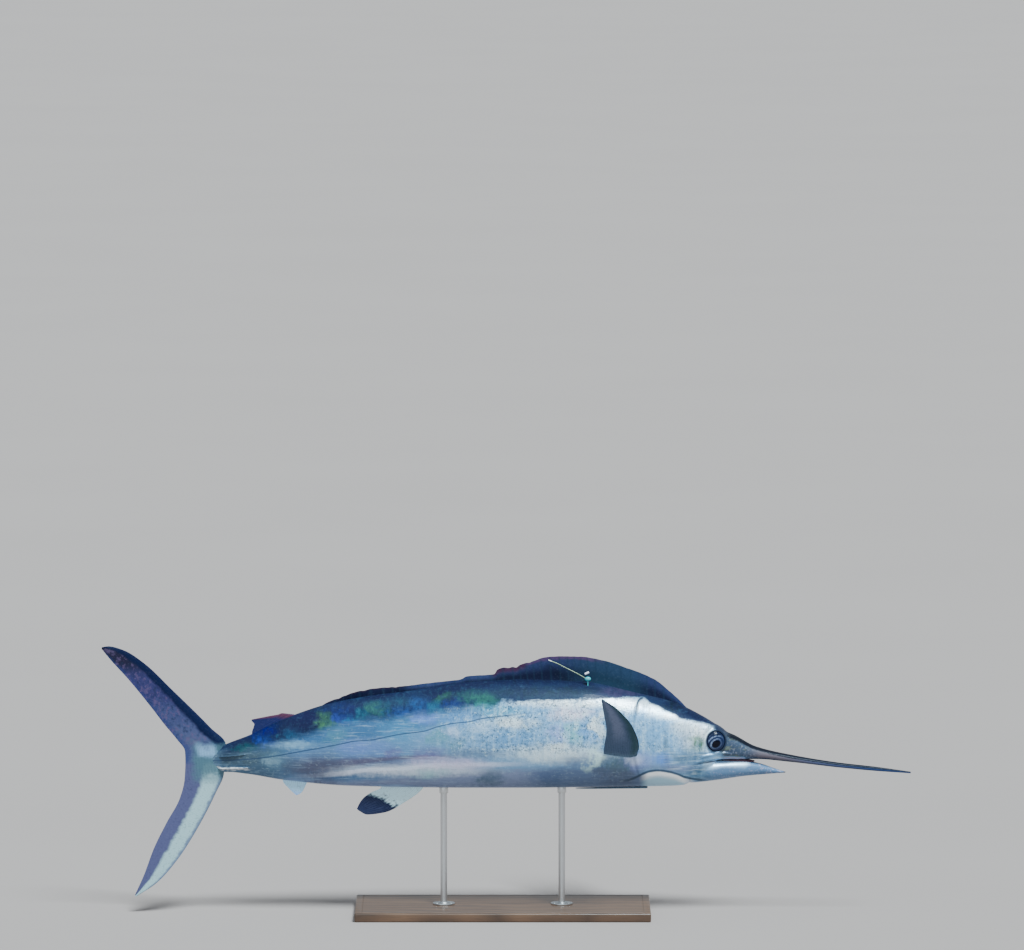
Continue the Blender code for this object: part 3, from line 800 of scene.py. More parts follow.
GILL_EDGE = (
    (0.372, 0.243), (0.36, 0.238), (0.353, 0.2227), (0.349, 0.2064), (0.346, 0.1901), (0.342, 0.1575),
    (0.341, 0.1249), (0.344, 0.0923), (0.351, 0.0598), (0.363, 0.029),
)
THROAT_FOLD = (
    (0.352, 0.029), (0.368, 0.0375), (0.387, 0.0445), (0.409, 0.0472), (0.439, 0.0434), (0.459, 0.038),
    (0.486, 0.0272), (0.521, 0.0205), (0.563, 0.023),
)
GAPE = (
    (0.5, 0.056), (0.516, 0.063), (0.555, 0.07), (0.595, 0.0752), (0.64, 0.0735),
)
MAXILLA = (
    (0.522, 0.08), (0.54, 0.0858), (0.56, 0.09), (0.584, 0.0925), (0.612, 0.09),
)
CHEEK_RIDGE = (
    (0.441, 0.188), (0.431, 0.172), (0.428, 0.15), (0.433, 0.12), (0.448, 0.092), (0.476, 0.07),
)
NOSTRILS = ((0.615, 0.129), (0.6215, 0.1265))
EYE_RADIUS = 0.0258
EYE_TALL = 1.08
EYE_TURN = Matrix.Rotation(math.radians(12.0), 4, "Z") @ Matrix.Rotation(math.radians(-7.0), 4, "X")


def bump_at(distance, width):
    """1 on a line and 0 a width away from it."""
    return np.exp(-(distance / width) ** 2)


print("the gill cover ends along", len(GILL_EDGE), "points")

# %% [markdown]
# The eye sits in a bony ring, the orbit, and the skin over it is drawn level. So the points round each eye
# are pushed along the way that it looks until they lie on one shallow cone.

# %% Level the orbits
EYE_OUTWARD = np.array(EYE_TURN.to_3x3() @ Vector((0.0, -1.0, 0.0)))


def turned_to_eye(points):
    """Points measured along, into and up the eye on their own side, from its middle."""
    right = np.stack([points[:, 0], -np.abs(points[:, 1]), points[:, 2]], axis=1)
    return (right - np.array(EYE_SPOT)) @ np.array(EYE_TURN.to_3x3())


def from_eye(points):
    """How far a point is from the middle of its eye, in eye radii, and how far out it stands."""
    turned = turned_to_eye(points)
    return np.hypot(turned[:, 0], turned[:, 2] / EYE_TALL) / EYE_RADIUS, -turned[:, 1]


def shape_orbits(piece):
    """Draws the skin round each eye to one level, as the bony ring of the orbit does."""
    points = points_of(piece)
    reach, height = from_eye(points)
    level = -0.0012 - 0.0065 * np.clip(reach - 1.0, 0.0, 0.6)
    hold = (1 - ease(reach, 1.04, 1.62)) * ease(height, -0.032, -0.02) * (np.abs(points[:, 1]) > 0.008)
    push = (level - height) * hold
    same = np.ones(len(points))
    outward = EYE_OUTWARD * np.stack([same, -np.sign(points[:, 1]), same], axis=1)
    place_points(piece, points + outward * push[:, None])
    return np.abs(push).max()


print("orbit pushed by up to", round(shape_orbits(skin) * 1000, 1), "mm")

# %% [markdown]
# Now the marks are added up into one depth for each point: the gill cover stands proud in front of its
# groove, the throat bulges over its fold, the mouth's corner and the nostrils are pressed in, and a lip, a
# jaw bone and the orbit's rim rise a little. All points then move along their own normals at once.

# %% Press the marks in
points = points_of(skin)
normals = np.empty(len(points) * 3, np.float32)
skin.data.vertex_normals.foreach_get("vector", normals)
normals = normals.reshape(-1, 3).astype(float)
on_skin = lies_on(skin, "skin") & (np.abs(points[:, 1]) > 0.004)
gill, gill_share = from_path(points, GILL_EDGE)
fold, fold_share = from_path(points, THROAT_FOLD)
gape, gape_share = from_path(points, GAPE)
maxilla, maxilla_share = from_path(points, MAXILLA)
ridge, ridge_share = from_path(points, CHEEK_RIDGE)


def inside(share):
    """Fades a line out at its two ends."""
    return ease(share, 0.0, 0.12) * (1 - ease(share, 0.88, 1.0))


cover = ease(gill, 0.0, 0.003) * (1 - ease(gill, 0.01, 0.06)) * inside(gill_share)
press = 0.0022 * cover - 0.0014 * bump_at(gill + 0.0015, 0.003) * inside(gill_share)
bulge = ease(-fold, 0.0, 0.006) * (1 - ease(-fold, 0.012, 0.026)) * inside(fold_share)
press += 0.0026 * bulge * (1 - ease(points[:, 0], 0.45, 0.5))
press -= 0.0022 * bump_at(fold, 0.003) * inside(fold_share)
press -= 0.003 * bump_at(gape, 0.0022) * ease(gape_share, 0.0, 0.2)
press += 0.0016 * bump_at(gape - 0.006, 0.0035) * inside(gape_share)
press += 0.0017 * bump_at(maxilla, 0.0032) * inside(maxilla_share)
press -= 0.0013 * bump_at(maxilla - 0.0062, 0.0028) * inside(maxilla_share)
press += 0.0009 * ease(ridge, -0.004, 0.004) * (1 - ease(ridge, 0.006, 0.03)) * inside(ridge_share)
eye_reach = from_eye(points)[0]
press += 0.0016 * bump_at(eye_reach - 1.1, 0.08)
press -= 0.001 * bump_at(eye_reach - 1.3, 0.08)
for spot in NOSTRILS:
    away = np.hypot(points[:, 0] - spot[0], (seen_height(points) - spot[1]) * 1.3)
    press -= 0.0026 * bump_at(away, 0.0026)
points += normals * (press * on_skin)[:, None]
place_points(skin, points)
print("deepest press and highest rise in mm:", round(press.min() * 1000, 2), round(press.max() * 1000, 2))

# %% [markdown]
# ## The eyes
#
# A marlin's eye is large and nearly flat, set in a bony socket under clear skin. Each eye is a ball
# squeezed along the way that it looks, with a lens that swells a little in the middle. A squeezed
# cylinder, a hair wider than the ball, cuts the socket.

# %% Eyes and sockets
EYE_HALF_DEPTH = 0.0085
EYE_SINK = 0.0046
SOCKET_GAP = 0.0003
SOCKET_FLOOR = 0.014
SOCKET_REACH = 0.045
LOOKING_OUT = (EYE_TURN @ Matrix.Rotation(math.pi / 2, 4, "X")).to_euler()


def add_eyeball():
    let_go()
    bpy.ops.mesh.primitive_uv_sphere_add(
        segments=64, ring_count=40, radius=1.0, location=EYE_SPOT + EYE_TURN @ Vector((0.0, EYE_SINK, 0.0)),
        rotation=LOOKING_OUT, scale=(EYE_RADIUS, EYE_RADIUS * EYE_TALL, EYE_HALF_DEPTH),
    )
    return call_it("eye_right_ball")


def add_socket_cutter():
    let_go()
    inward = SOCKET_FLOOR - SOCKET_REACH / 2
    bpy.ops.mesh.primitive_cylinder_add(
        vertices=72, radius=1.0, depth=1.0, location=EYE_SPOT + EYE_TURN @ Vector((0.0, inward, 0.0)),
        rotation=LOOKING_OUT,
        scale=(EYE_RADIUS + SOCKET_GAP, EYE_RADIUS * EYE_TALL + SOCKET_GAP, SOCKET_REACH),
    )
    return call_it("socket_right")


def swell_lens(eye):
    """Raises the clear lens over the middle of the eye, inside a fine groove at its edge."""
    points = points_of(eye)
    reach, height = from_eye(points)
    rise = 0.0012 * (1 - ease(reach, 0.0, 0.7)) - 0.0005 * bump_at(reach - 0.8, 0.05)
    points += EYE_OUTWARD * (rise * (height > -EYE_SINK))[:, None]
    place_points(eye, points)


eye_right = add_eyeball()
swell_lens(eye_right)
eye_left = mirrored(eye_right, "eye_left_ball")
sockets = [add_socket_cutter()]
sockets.append(mirrored(sockets[0], "socket_left"))
for socket in sockets:
    mark_kind(socket, "skin")
    combine(skin, socket, "DIFFERENCE")
for eye in (eye_right, eye_left):
    take(eye)
    bpy.ops.object.shade_smooth()
shade(skin, 38.0)
print("skin with sockets:", count_triangles(skin), "triangles;", "each eye:", count_triangles(eye_right))

# %% [markdown]
# ## Guides for the paint
#
# A real marlin is painted by its skin: a dark back that ends in a ragged line, a thin lateral line, a
# silver flank. The finish has to know where those lines run, so each point of the skin carries a few
# numbers, such as its height above the edge of the dark back. They could be painted by hand on a flat
# texture, but numbers on the points stay sharp at any size and follow the shape.

# %% Guides on the skin
BACK_EDGE = (
    (-0.838, 0.0435), (-0.74, 0.085), (-0.687, 0.1005), (-0.62, 0.1168), (-0.533, 0.1412), (-0.45, 0.1697),
    (-0.401, 0.1781), (-0.328, 0.1836), (-0.246, 0.1947), (-0.144, 0.21), (-0.077, 0.2172), (-0.036, 0.219),
    (-0.005, 0.235), (0.039, 0.2345), (0.163, 0.2389), (0.252, 0.24), (0.32, 0.245), (0.37, 0.2433),
    (0.388, 0.229), (0.415, 0.216), (0.442, 0.203), (0.458, 0.195), (0.469, 0.188), (0.496, 0.183),
    (0.517, 0.1775), (0.539, 0.173), (0.552, 0.1685), (0.566, 0.163), (0.58, 0.152), (0.6, 0.14),
    (0.64, 0.118),
)
SIDE_LINE = (
    (-0.76, 0.072), (-0.671, 0.0788), (-0.601, 0.0896), (-0.568, 0.0961), (-0.512, 0.1059), (-0.45, 0.1184),
    (-0.409, 0.1268), (-0.359, 0.1309), (-0.325, 0.138), (-0.285, 0.1461), (-0.221, 0.1545),
    (-0.188, 0.1656), (-0.147, 0.1751), (-0.105, 0.1795), (-0.063, 0.189), (-0.018, 0.1947),
    (0.117, 0.2091), (0.252, 0.2254), (0.34, 0.236),
)
# Painted shade: a dark stripe low on the rear flank, where the body turns under.
SHADE_STRIPE = (
    (-0.56, 0.056), (-0.45, 0.0625), (-0.368, 0.0733), (-0.285, 0.0815), (-0.201, 0.0842), (-0.1, 0.086),
)
# Painted reflection: a bright band below the dark stripe, where the flank turns under.
REFLECTION_BAND = (
    (-0.54, 0.03), (-0.45, 0.038), (-0.368, 0.0489), (-0.285, 0.0516), (-0.201, 0.0597), (-0.126, 0.0625),
    (-0.02, 0.064),
)
THROAT_LINE = ((0.33, 0.02), *THROAT_FOLD[:-1], (0.563, 0.015))
BELLY_SHADE = (
    (-0.7, 0.03), (-0.45, 0.024), (-0.288, 0.035), (-0.126, 0.047), (-0.018, 0.056), (0.144, 0.061),
    (0.252, 0.064), (0.33, 0.056), (0.42, 0.022), (0.52, 0.018),
)

print("the dark back ends along", len(BACK_EDGE), "points")

# %% [markdown]
# Each line becomes a guide: a number on every point that says how far it is over the line, or away from it.
# The fins' guides are the two shares that were kept when their blades were made.

# %% Write the guides
HEIGHTS_OVER = {
    "over_back_edge": BACK_EDGE, "over_side_line": SIDE_LINE, "over_shade_stripe": SHADE_STRIPE,
    "over_reflection_band": REFLECTION_BAND, "over_belly_shade": BELLY_SHADE, "over_throat": THROAT_LINE,
}
DISTANCES_FROM = {"gill": GILL_EDGE, "gape": GAPE, "ridge": CHEEK_RIDGE}


def add_guide(piece, name, values):
    guide = piece.data.attributes.new(name, "FLOAT", "POINT")
    guide.data.foreach_set("value", np.ascontiguousarray(values, np.float32))


def guide_skin(piece):
    points = points_of(piece)
    top, bottom = body_at(points[:, 0]).T[:2]
    add_guide(piece, "seen", seen_height(points))
    add_guide(piece, "level", (points[:, 2] - BELLY - bottom) / (top - bottom))
    for name, path in HEIGHTS_OVER.items():
        add_guide(piece, name, seen_height(points) - smooth_rows(path)(points[:, 0])[:, 0])
    for name, path in DISTANCES_FROM.items():
        add_guide(piece, name, from_path(points, path)[0])
    add_guide(piece, "eye", from_eye(points)[0])


def guide_fins(piece):
    """Gives each point on a fin the two shares of the nearest point of the blade that it came from."""
    points = points_of(piece)
    out, across = np.zeros(len(points)), np.zeros(len(points))
    for kind in {record[3] for record in fin_records}:
        chosen = [record for record in fin_records if record[3] == kind]
        places = np.concatenate([record[0] for record in chosen])
        shares = np.concatenate([np.stack(record[1:3], axis=1) for record in chosen])
        finder = KDTree(len(places))
        for number, place in enumerate(places):
            finder.insert(place, number)
        finder.balance()
        for index in np.flatnonzero(lies_on(piece, kind)):
            nearest = finder.find(points[index])[1]
            out[index], across[index] = shares[nearest]
    add_guide(piece, "out", out)
    add_guide(piece, "across", across)


guide_skin(skin)
guide_fins(skin)
print("guides:", [guide.name for guide in skin.data.attributes if guide.data_type == "FLOAT"])

# %% [markdown]
# ## Writing finishes as sums
#
# A finish is a small network of nodes. Drawn by hand it soon becomes a tangle, so here a number that varies
# over the surface is wrapped in a class, and a sum on it adds the Math nodes. Colours are only ever mixed.

# %% Amounts
class Amount:
    """A number that varies over a surface. Sums on it add Math nodes to its finish."""

    def __init__(self, finish, socket):
        self.finish = finish
        self.socket = socket

    def work(self, operation, *parts):
        sockets = dict(enumerate(parts))
        return Amount(self.finish, self.finish.node("Math", {"operation": operation}, sockets).outputs[0])

    def __add__(self, other):
        return self.work("ADD", self, other)

    def __radd__(self, other):
        return self.work("ADD", other, self)

    def __sub__(self, other):
        return self.work("SUBTRACT", self, other)

    def __rsub__(self, other):
        return self.work("SUBTRACT", other, self)

    def __mul__(self, other):
        return self.work("MULTIPLY", self, other)

    def __rmul__(self, other):
        return self.work("MULTIPLY", other, self)

    def __truediv__(self, other):
        return self.work("DIVIDE", self, other)

    def __rtruediv__(self, other):
        return self.work("DIVIDE", other, self)

    def __abs__(self):
        return self.work("ABSOLUTE", self)


print("sums on an amount:", [name for name in vars(Amount) if name.endswith("add__")])

# %% [markdown]
# A finish holds one material. Any node comes from one method, and the other methods are the few that all
# the finishes share: a soft rise, a cloud of noise, cells, a mix of colours and fine relief.

# %% Finishes
class Finish:
    """One material: its nodes, and the ways to add to them."""

    MIX_SHARE, MIX_FIRST, MIX_SECOND, MIX_RESULT = 0, 6, 7, 2  # the sockets of a Mix node that mixes colours

    def __init__(self, name, fixed):
        self.material = bpy.data.materials.new(name)
        self.material.use_nodes = True
        self.tree = self.material.node_tree
        self.shader = self.tree.nodes["Principled BSDF"]
        for socket, value in fixed.items():
            self.feed(self.shader.inputs[socket], value)
        self.spot = self.node("TexCoord", {}, {}).outputs["Object"]
        parts = self.node("SeparateXYZ", {}, {0: self.spot}).outputs
        self.x, self.y, self.z = (Amount(self, part) for part in parts)

    def node(self, kind, settings, sockets):
        """Any node: its settings first, then the values or links of its sockets."""
        made = self.tree.nodes.new("ShaderNode" + kind)
        for name, value in settings.items():
            setattr(made, name, value)
        for name, value in sockets.items():
            self.feed(made.inputs[name], value)
        return made

    def feed(self, socket, value):
        if isinstance(value, Amount):
            self.tree.links.new(value.socket, socket)
        elif isinstance(value, bpy.types.NodeSocket):
            self.tree.links.new(value, socket)
        elif socket.type == "RGBA":
            socket.default_value = (*value, 1.0)
        else:
            socket.default_value = value

    def guide(self, name):
        return Amount(self, self.node("Attribute", {"attribute_name": name}, {}).outputs["Fac"])

    def rise(self, value, start, end, top=1.0):
        """0 before start, top after end, with a soft rise between. It may also run downwards."""
        sockets = {"Value": value, "From Min": start, "From Max": end, "To Max": top}
        return Amount(self, self.node("MapRange", {"interpolation_type": "SMOOTHSTEP"}, sockets).outputs[0])

    def cloud(self, scale, detail=3.0, roughness=0.5, shift=(0.0, 0.0, 0.0)):
        """Soft random patches about 1 / scale metres long along x, y and z. They run from 0 to 1."""
        sized = self.node("Mapping", {}, {"Vector": self.spot, "Location": shift, "Scale": scale})
        sockets = {"Vector": sized.outputs[0], "Scale": 1.0, "Detail": detail, "Roughness": roughness}
        return Amount(self, self.node("TexNoise", {}, sockets).outputs[0])

    def cells(self, scale):
        """Random cells about 1 / scale metres long: 0 in the middle of each, and more towards its rim."""
        sized = self.node("Mapping", {}, {"Vector": self.spot, "Scale": scale})
        made = self.node("TexVoronoi", {"feature": "F1"}, {"Vector": sized.outputs[0], "Scale": 1.0})
        return Amount(self, made.outputs["Distance"])

    def mix(self, share, first, second):
        """The first colour where the share is 0 and the second where it is 1."""
        sockets = {self.MIX_SHARE: share, self.MIX_FIRST: first, self.MIX_SECOND: second}
        return self.node("Mix", {"data_type": "RGBA"}, sockets).outputs[self.MIX_RESULT]

    def relief(self, height, depth):
        """Fine relief, depth metres high from 0 to 1."""
        made = self.node("Bump", {}, {"Height": height, "Distance": depth, "Strength": 1.0})
        self.feed(self.shader.inputs["Normal"], made.outputs[0])

    def wear(self, **sockets):
        """Feeds the shader's own sockets, such as Base_Color."""
        for name, value in sockets.items():
            self.feed(self.shader.inputs[name.replace("_", " ")], value)


WET = {
    "Coat Weight": 0.08, "Coat Roughness": 0.12, "Coat IOR": 1.33, "IOR": 1.33, "Specular IOR Level": 0.3,
    "Specular Tint": (0.62, 0.8, 1.0),
}


def dress(piece, material):
    """Gives all of a piece one finish."""
    piece.data.materials.clear()
    piece.data.materials.append(material)


print("ready to mix finishes")

# %% [markdown]
# ## The marlin's skin
#
# The silver comes from flat crystals in the skin that mirror like foil, so it is partly metallic, and it is
# broken into fine streaks because the scales are narrow splints that lie under the skin. The back is nearly
# black, with blue, green and violet sheens that come and go in the live fish. Each sheen is a soft patch
# with its own place, size and colour. Ragged noise bends every edge, so that no patch looks drawn.

# %% Colours of the back and the flank
NAVY = (0.007, 0.01, 0.038)
STRETCHES = (0.35, 0.7, 1.4, 2.8, 5.5, 11.0)  # how many times longer than tall a patch is
SHEENS = {  # on the back: x, height, half height, stretch, red, green, blue, strength
    "teal nape": (0.124, 0.262, 0.0151, 11.0, 0.005, 0.014, 0.026, 0.92),
    "dusk nape": (0.077, 0.301, 0.0213, 11.0, 0.004, 0.005, 0.022, 0.95),
    "grey nape": (0.161, 0.246, 0.0112, 11.0, 0.022, 0.045, 0.075, 0.6),
    "dark green": (-0.108, 0.254, 0.0139, 2.8, 0.01, 0.049, 0.053, 0.85),
    "bright green": (-0.055, 0.243, 0.0204, 2.8, 0.016, 0.092, 0.07, 0.9),
    "pale green": (-0.053, 0.221, 0.0145, 2.8, 0.03, 0.24, 0.23, 0.6),
    "leaf green": (-0.178, 0.246, 0.0161, 1.4, 0.02, 0.09, 0.05, 0.8),
    "teal streak": (-0.182, 0.215, 0.0212, 1.4, 0.011, 0.1, 0.19, 0.8),
    "blue middle": (-0.131, 0.225, 0.0196, 1.4, 0.009, 0.026, 0.15, 0.75),
    "blue side": (-0.23, 0.224, 0.0221, 1.4, 0.01, 0.06, 0.2, 0.8),
    "teal middle": (-0.292, 0.232, 0.0157, 2.8, 0.01, 0.045, 0.082, 0.8),
    "blue low": (-0.284, 0.204, 0.0166, 2.8, 0.01, 0.06, 0.24, 0.75),
    "olive": (-0.348, 0.213, 0.0221, 1.4, 0.022, 0.1, 0.085, 0.85),
    "teal olive": (-0.392, 0.201, 0.0179, 1.4, 0.013, 0.107, 0.164, 0.8),
    "royal blue": (-0.44, 0.205, 0.0261, 1.4, 0.009, 0.016, 0.1, 0.75),
    "violet dab": (-0.45, 0.183, 0.0155, 1.4, 0.023, 0.06, 0.34, 0.6),
    "cyan dab": (-0.42, 0.178, 0.0149, 1.4, 0.011, 0.13, 0.28, 0.7),
    "yellow green": (-0.497, 0.182, 0.0232, 1.4, 0.06, 0.19, 0.08, 0.9),
    "navy rear": (-0.555, 0.185, 0.0343, 1.4, 0.01, 0.008, 0.045, 0.8),
    "teal rear": (-0.581, 0.14, 0.0195, 1.4, 0.013, 0.08, 0.17, 0.75),
    "royal blue rear": (-0.664, 0.152, 0.0304, 1.4, 0.001, 0.002, 0.1, 0.95),
    "blue low rear": (-0.651, 0.113, 0.0251, 1.4, 0.01, 0.05, 0.3, 0.85),
    "green rear": (-0.703, 0.099, 0.0228, 1.4, 0.011, 0.07, 0.078, 0.85),
    "mauve nape": (0.31, 0.258, 0.0203, 2.8, 0.034, 0.026, 0.07, 0.8),
    "green crown": (0.45, 0.221, 0.0185, 1.4, 0.001, 0.005, 0.012, 0.9),
    "violet crown": (0.502, 0.2, 0.026, 1.4, 0.002, 0.002, 0.022, 0.85),
}
# Tints of the silver skin, among them painted highlights, painted reflections and painted shade, each marked
# above its rows.
GLINTS = {  # on the silver, in the same order
    # Painted highlight: the glare of the light along the shoulder.
    "glare band": (0.198, 0.232, 0.0164, 11.0, 0.88, 0.97, 1.0, 0.95),
    "cyan edge": (-0.019, 0.212, 0.0234, 2.8, 0.07, 0.33, 0.48, 0.75),
    # The next four rows are painted highlights on the shoulder and the flank.
    "warm shoulder highlight": (0.171, 0.202, 0.0219, 2.8, 1.0, 0.86, 0.96, 0.8),
    "white patch": (0.018, 0.178, 0.0188, 2.8, 0.9, 1.0, 1.0, 0.85),
    "white patch rear": (-0.063, 0.168, 0.0212, 1.4, 0.62, 0.82, 1.0, 0.5),
    "highlight spot": (-0.142, 0.153, 0.0166, 1.4, 0.62, 0.76, 1.0, 0.5),
    "blue side": (0.014, 0.134, 0.0315, 2.8, 0.1, 0.3, 0.6, 0.6),
    "lilac side": (0.136, 0.148, 0.0243, 1.4, 0.42, 0.46, 0.9, 0.55),
    "mint side": (0.182, 0.152, 0.0357, 0.7, 0.22, 0.6, 0.56, 0.6),
    "blue side front": (0.225, 0.144, 0.0357, 0.7, 0.13, 0.36, 0.76, 0.65),
    # Painted highlight low on the flank.
    "low side highlight": (0.14, 0.091, 0.027, 5.5, 0.82, 0.96, 1.0, 0.8),
    "grey low side": (0.197, 0.067, 0.0229, 2.8, 0.11, 0.16, 0.29, 0.7),
    # The next two rows are painted highlights on the flank behind the pectoral fin.
    "highlight behind fin": (0.258, 0.171, 0.0497, 0.35, 0.9, 1.0, 1.0, 0.9),
    "highlight wedge": (0.238, 0.079, 0.0336, 0.7, 0.7, 1.0, 0.96, 0.85),
    # The next two rows are the pectoral fin's painted shadow on the flank, teal inside it.
    "shade under fin": (0.31, 0.043, 0.0494, 1.4, 0.09, 0.115, 0.18, 0.92),
    "teal in fin shadow": (0.298, 0.065, 0.0212, 1.4, 0.11, 0.185, 0.23, 0.7),
    "light blue rear": (-0.571, 0.121, 0.0224, 2.8, 0.032, 0.13, 0.33, 0.55),
    "mint rear": (-0.464, 0.138, 0.0304, 1.4, 0.09, 0.26, 0.32, 0.5),
    "periwinkle": (-0.39, 0.107, 0.0262, 2.8, 0.15, 0.24, 0.62, 0.55),
    "cyan middle": (-0.286, 0.153, 0.0411, 1.4, 0.06, 0.25, 0.45, 0.6),
    "periwinkle high": (-0.224, 0.191, 0.021, 1.4, 0.16, 0.28, 0.78, 0.6),
    "pale blue": (-0.144, 0.185, 0.0231, 2.8, 0.11, 0.31, 0.64, 0.6),
    "mint middle": (-0.182, 0.144, 0.0304, 0.7, 0.09, 0.29, 0.33, 0.65),
    "teal low": (-0.14, 0.118, 0.0198, 1.4, 0.098, 0.254, 0.328, 0.6),
    "mauve low": (-0.204, 0.094, 0.0174, 2.8, 0.15, 0.12, 0.3, 0.7),
    "mauve low rear": (-0.315, 0.095, 0.016, 1.4, 0.15, 0.12, 0.31, 0.6),
    "grey low": (-0.084, 0.095, 0.0161, 5.5, 0.13, 0.17, 0.26, 0.6),
    "slate mass": (-0.498, 0.043, 0.0533, 1.4, 0.08, 0.082, 0.136, 0.8),
    # Painted shade on the dark stripe, then painted reflections in pink and white on the bright band below
    # it.
    "slate shade stripe": (-0.362, 0.071, 0.0163, 5.5, 0.115, 0.1, 0.18, 0.75),
    "pink reflection band": (-0.166, 0.065, 0.0207, 5.5, 0.64, 0.56, 0.78, 0.8),
    "white reflection band": (-0.255, 0.046, 0.0179, 11.0, 0.82, 0.88, 1.0, 0.75),
    "mint under band": (-0.207, 0.037, 0.0152, 2.8, 0.28, 0.58, 0.62, 0.6),
    "mint stalk": (-0.628, 0.076, 0.0285, 1.4, 0.15, 0.31, 0.37, 0.35),
    "grey stalk": (-0.717, 0.079, 0.0256, 2.8, 0.058, 0.086, 0.105, 0.8),
    # The next two rows are painted highlights on a keel and along the tail stalk.
    "keel light": (-0.757, 0.0495, 0.0045, 11.0, 1.0, 1.0, 1.0, 1.0),
    "stalk highlight streak": (-0.644, 0.0706, 0.0096, 2.8, 0.3, 0.48, 0.6, 0.4),
    # Painted highlight: a streak low on the flank.
    "flank highlight streak": (0.128, 0.112, 0.012, 2.8, 0.9, 1.0, 1.0, 0.75),
    "temple shade": (0.471, 0.1874, 0.0049, 5.5, 0.1, 0.15, 0.2, 0.6),
    "temple crease": (0.43, 0.196, 0.0052, 2.8, 0.2, 0.28, 0.34, 0.55),
    "cheek shade": (0.5, 0.09, 0.011, 2.8, 0.18, 0.3, 0.4, 0.35),
    "pale rear": (-0.585, 0.1168, 0.0129, 5.5, 0.34, 0.6, 0.76, 0.5),
    "grey behind": (-0.582, 0.062, 0.0252, 1.4, 0.07, 0.098, 0.15, 0.55),
    "dark blue low": (0.101, 0.03, 0.019, 2.8, 0.06, 0.11, 0.25, 0.5),
    "teal belly": (-0.05, 0.024, 0.0268, 1.4, 0.05, 0.11, 0.15, 0.6),
    # The next five rows are painted highlights and glare on the temple, the shoulder and the brow.
    "temple glare": (0.404, 0.219, 0.0293, 1.4, 0.86, 0.97, 1.0, 0.8),
    "shoulder glare": (0.317, 0.225, 0.0213, 2.8, 0.9, 0.98, 1.0, 0.95),
    "temple highlight": (0.446, 0.194, 0.012, 2.8, 0.95, 1.0, 1.0, 1.0),
    "brow highlight": (0.512, 0.148, 0.0426, 1.4, 0.95, 1.0, 1.0, 1.0),
    "rear brow highlight": (0.466, 0.168, 0.0206, 1.4, 0.9, 0.98, 1.0, 0.8),
    "blue cover": (0.428, 0.138, 0.0488, 1.4, 0.17, 0.42, 0.72, 0.65),
    "lime cheek": (0.518, 0.121, 0.0239, 0.7, 0.05, 0.14, 0.06, 1.0),
    "lime streak": (0.504, 0.134, 0.0072, 2.8, 0.18, 0.361, 0.197, 0.6),
    "blue cheek": (0.416, 0.077, 0.021, 1.4, 0.1, 0.26, 0.78, 0.7),
    "lilac gill": (0.354, 0.073, 0.0304, 1.4, 0.3, 0.34, 0.78, 0.6),
    "upper stroke": (0.428, 0.118, 0.0194, 0.35, 0.098, 0.18, 0.262, 0.75),
    "lower stroke": (0.433, 0.076, 0.0215, 0.35, 0.107, 0.172, 0.377, 0.65),
    "mauve throat": (0.462, 0.052, 0.0135, 5.5, 0.246, 0.262, 0.451, 0.6),
    "grey chin": (0.536, 0.042, 0.0316, 1.4, 0.037, 0.102, 0.172, 0.85),
    "pale gill foot": (0.343, 0.076, 0.0165, 1.4, 0.7, 0.82, 1.0, 0.65),
    "green grey cheek": (0.508, 0.104, 0.01, 2.8, 0.12, 0.22, 0.2, 0.45),
    "cheek crease": (0.452, 0.172, 0.0045, 2.8, 0.14, 0.21, 0.26, 0.45),
    "temple notch": (0.386, 0.203, 0.005, 0.7, 0.16, 0.22, 0.29, 0.4),
    "teal jaw root": (0.506, 0.081, 0.0185, 2.8, 0.045, 0.1, 0.18, 0.75),
}
print("sheens:", len(SHEENS), "glints:", len(GLINTS))

# %% [markdown]
# The silver goes from pale in front to slate at the tail. Over it run a stripe of painted shade, a band of
# painted reflection and the painted shade of the belly, each along its own guide, and then the glints are
# laid on in the order of the table.

# %% Paint the silver
def paint_patches(finish, colour, patches, places, broken):
    """Lays each patch over the colour, softer towards its edge and broken up by a noise."""
    for x, height, tall, stretch, *tint, strength in patches.values():
        sockets = {0: places[stretch], 1: (x / stretch, height, 0.0)}
        reach = finish.node("VectorMath", {"operation": "DISTANCE"}, sockets).outputs["Value"]
        share = finish.rise(reach, 1.42 * tall, 0.2 * tall, strength)
        colour = finish.mix(share * broken, colour, tint)
    return colour


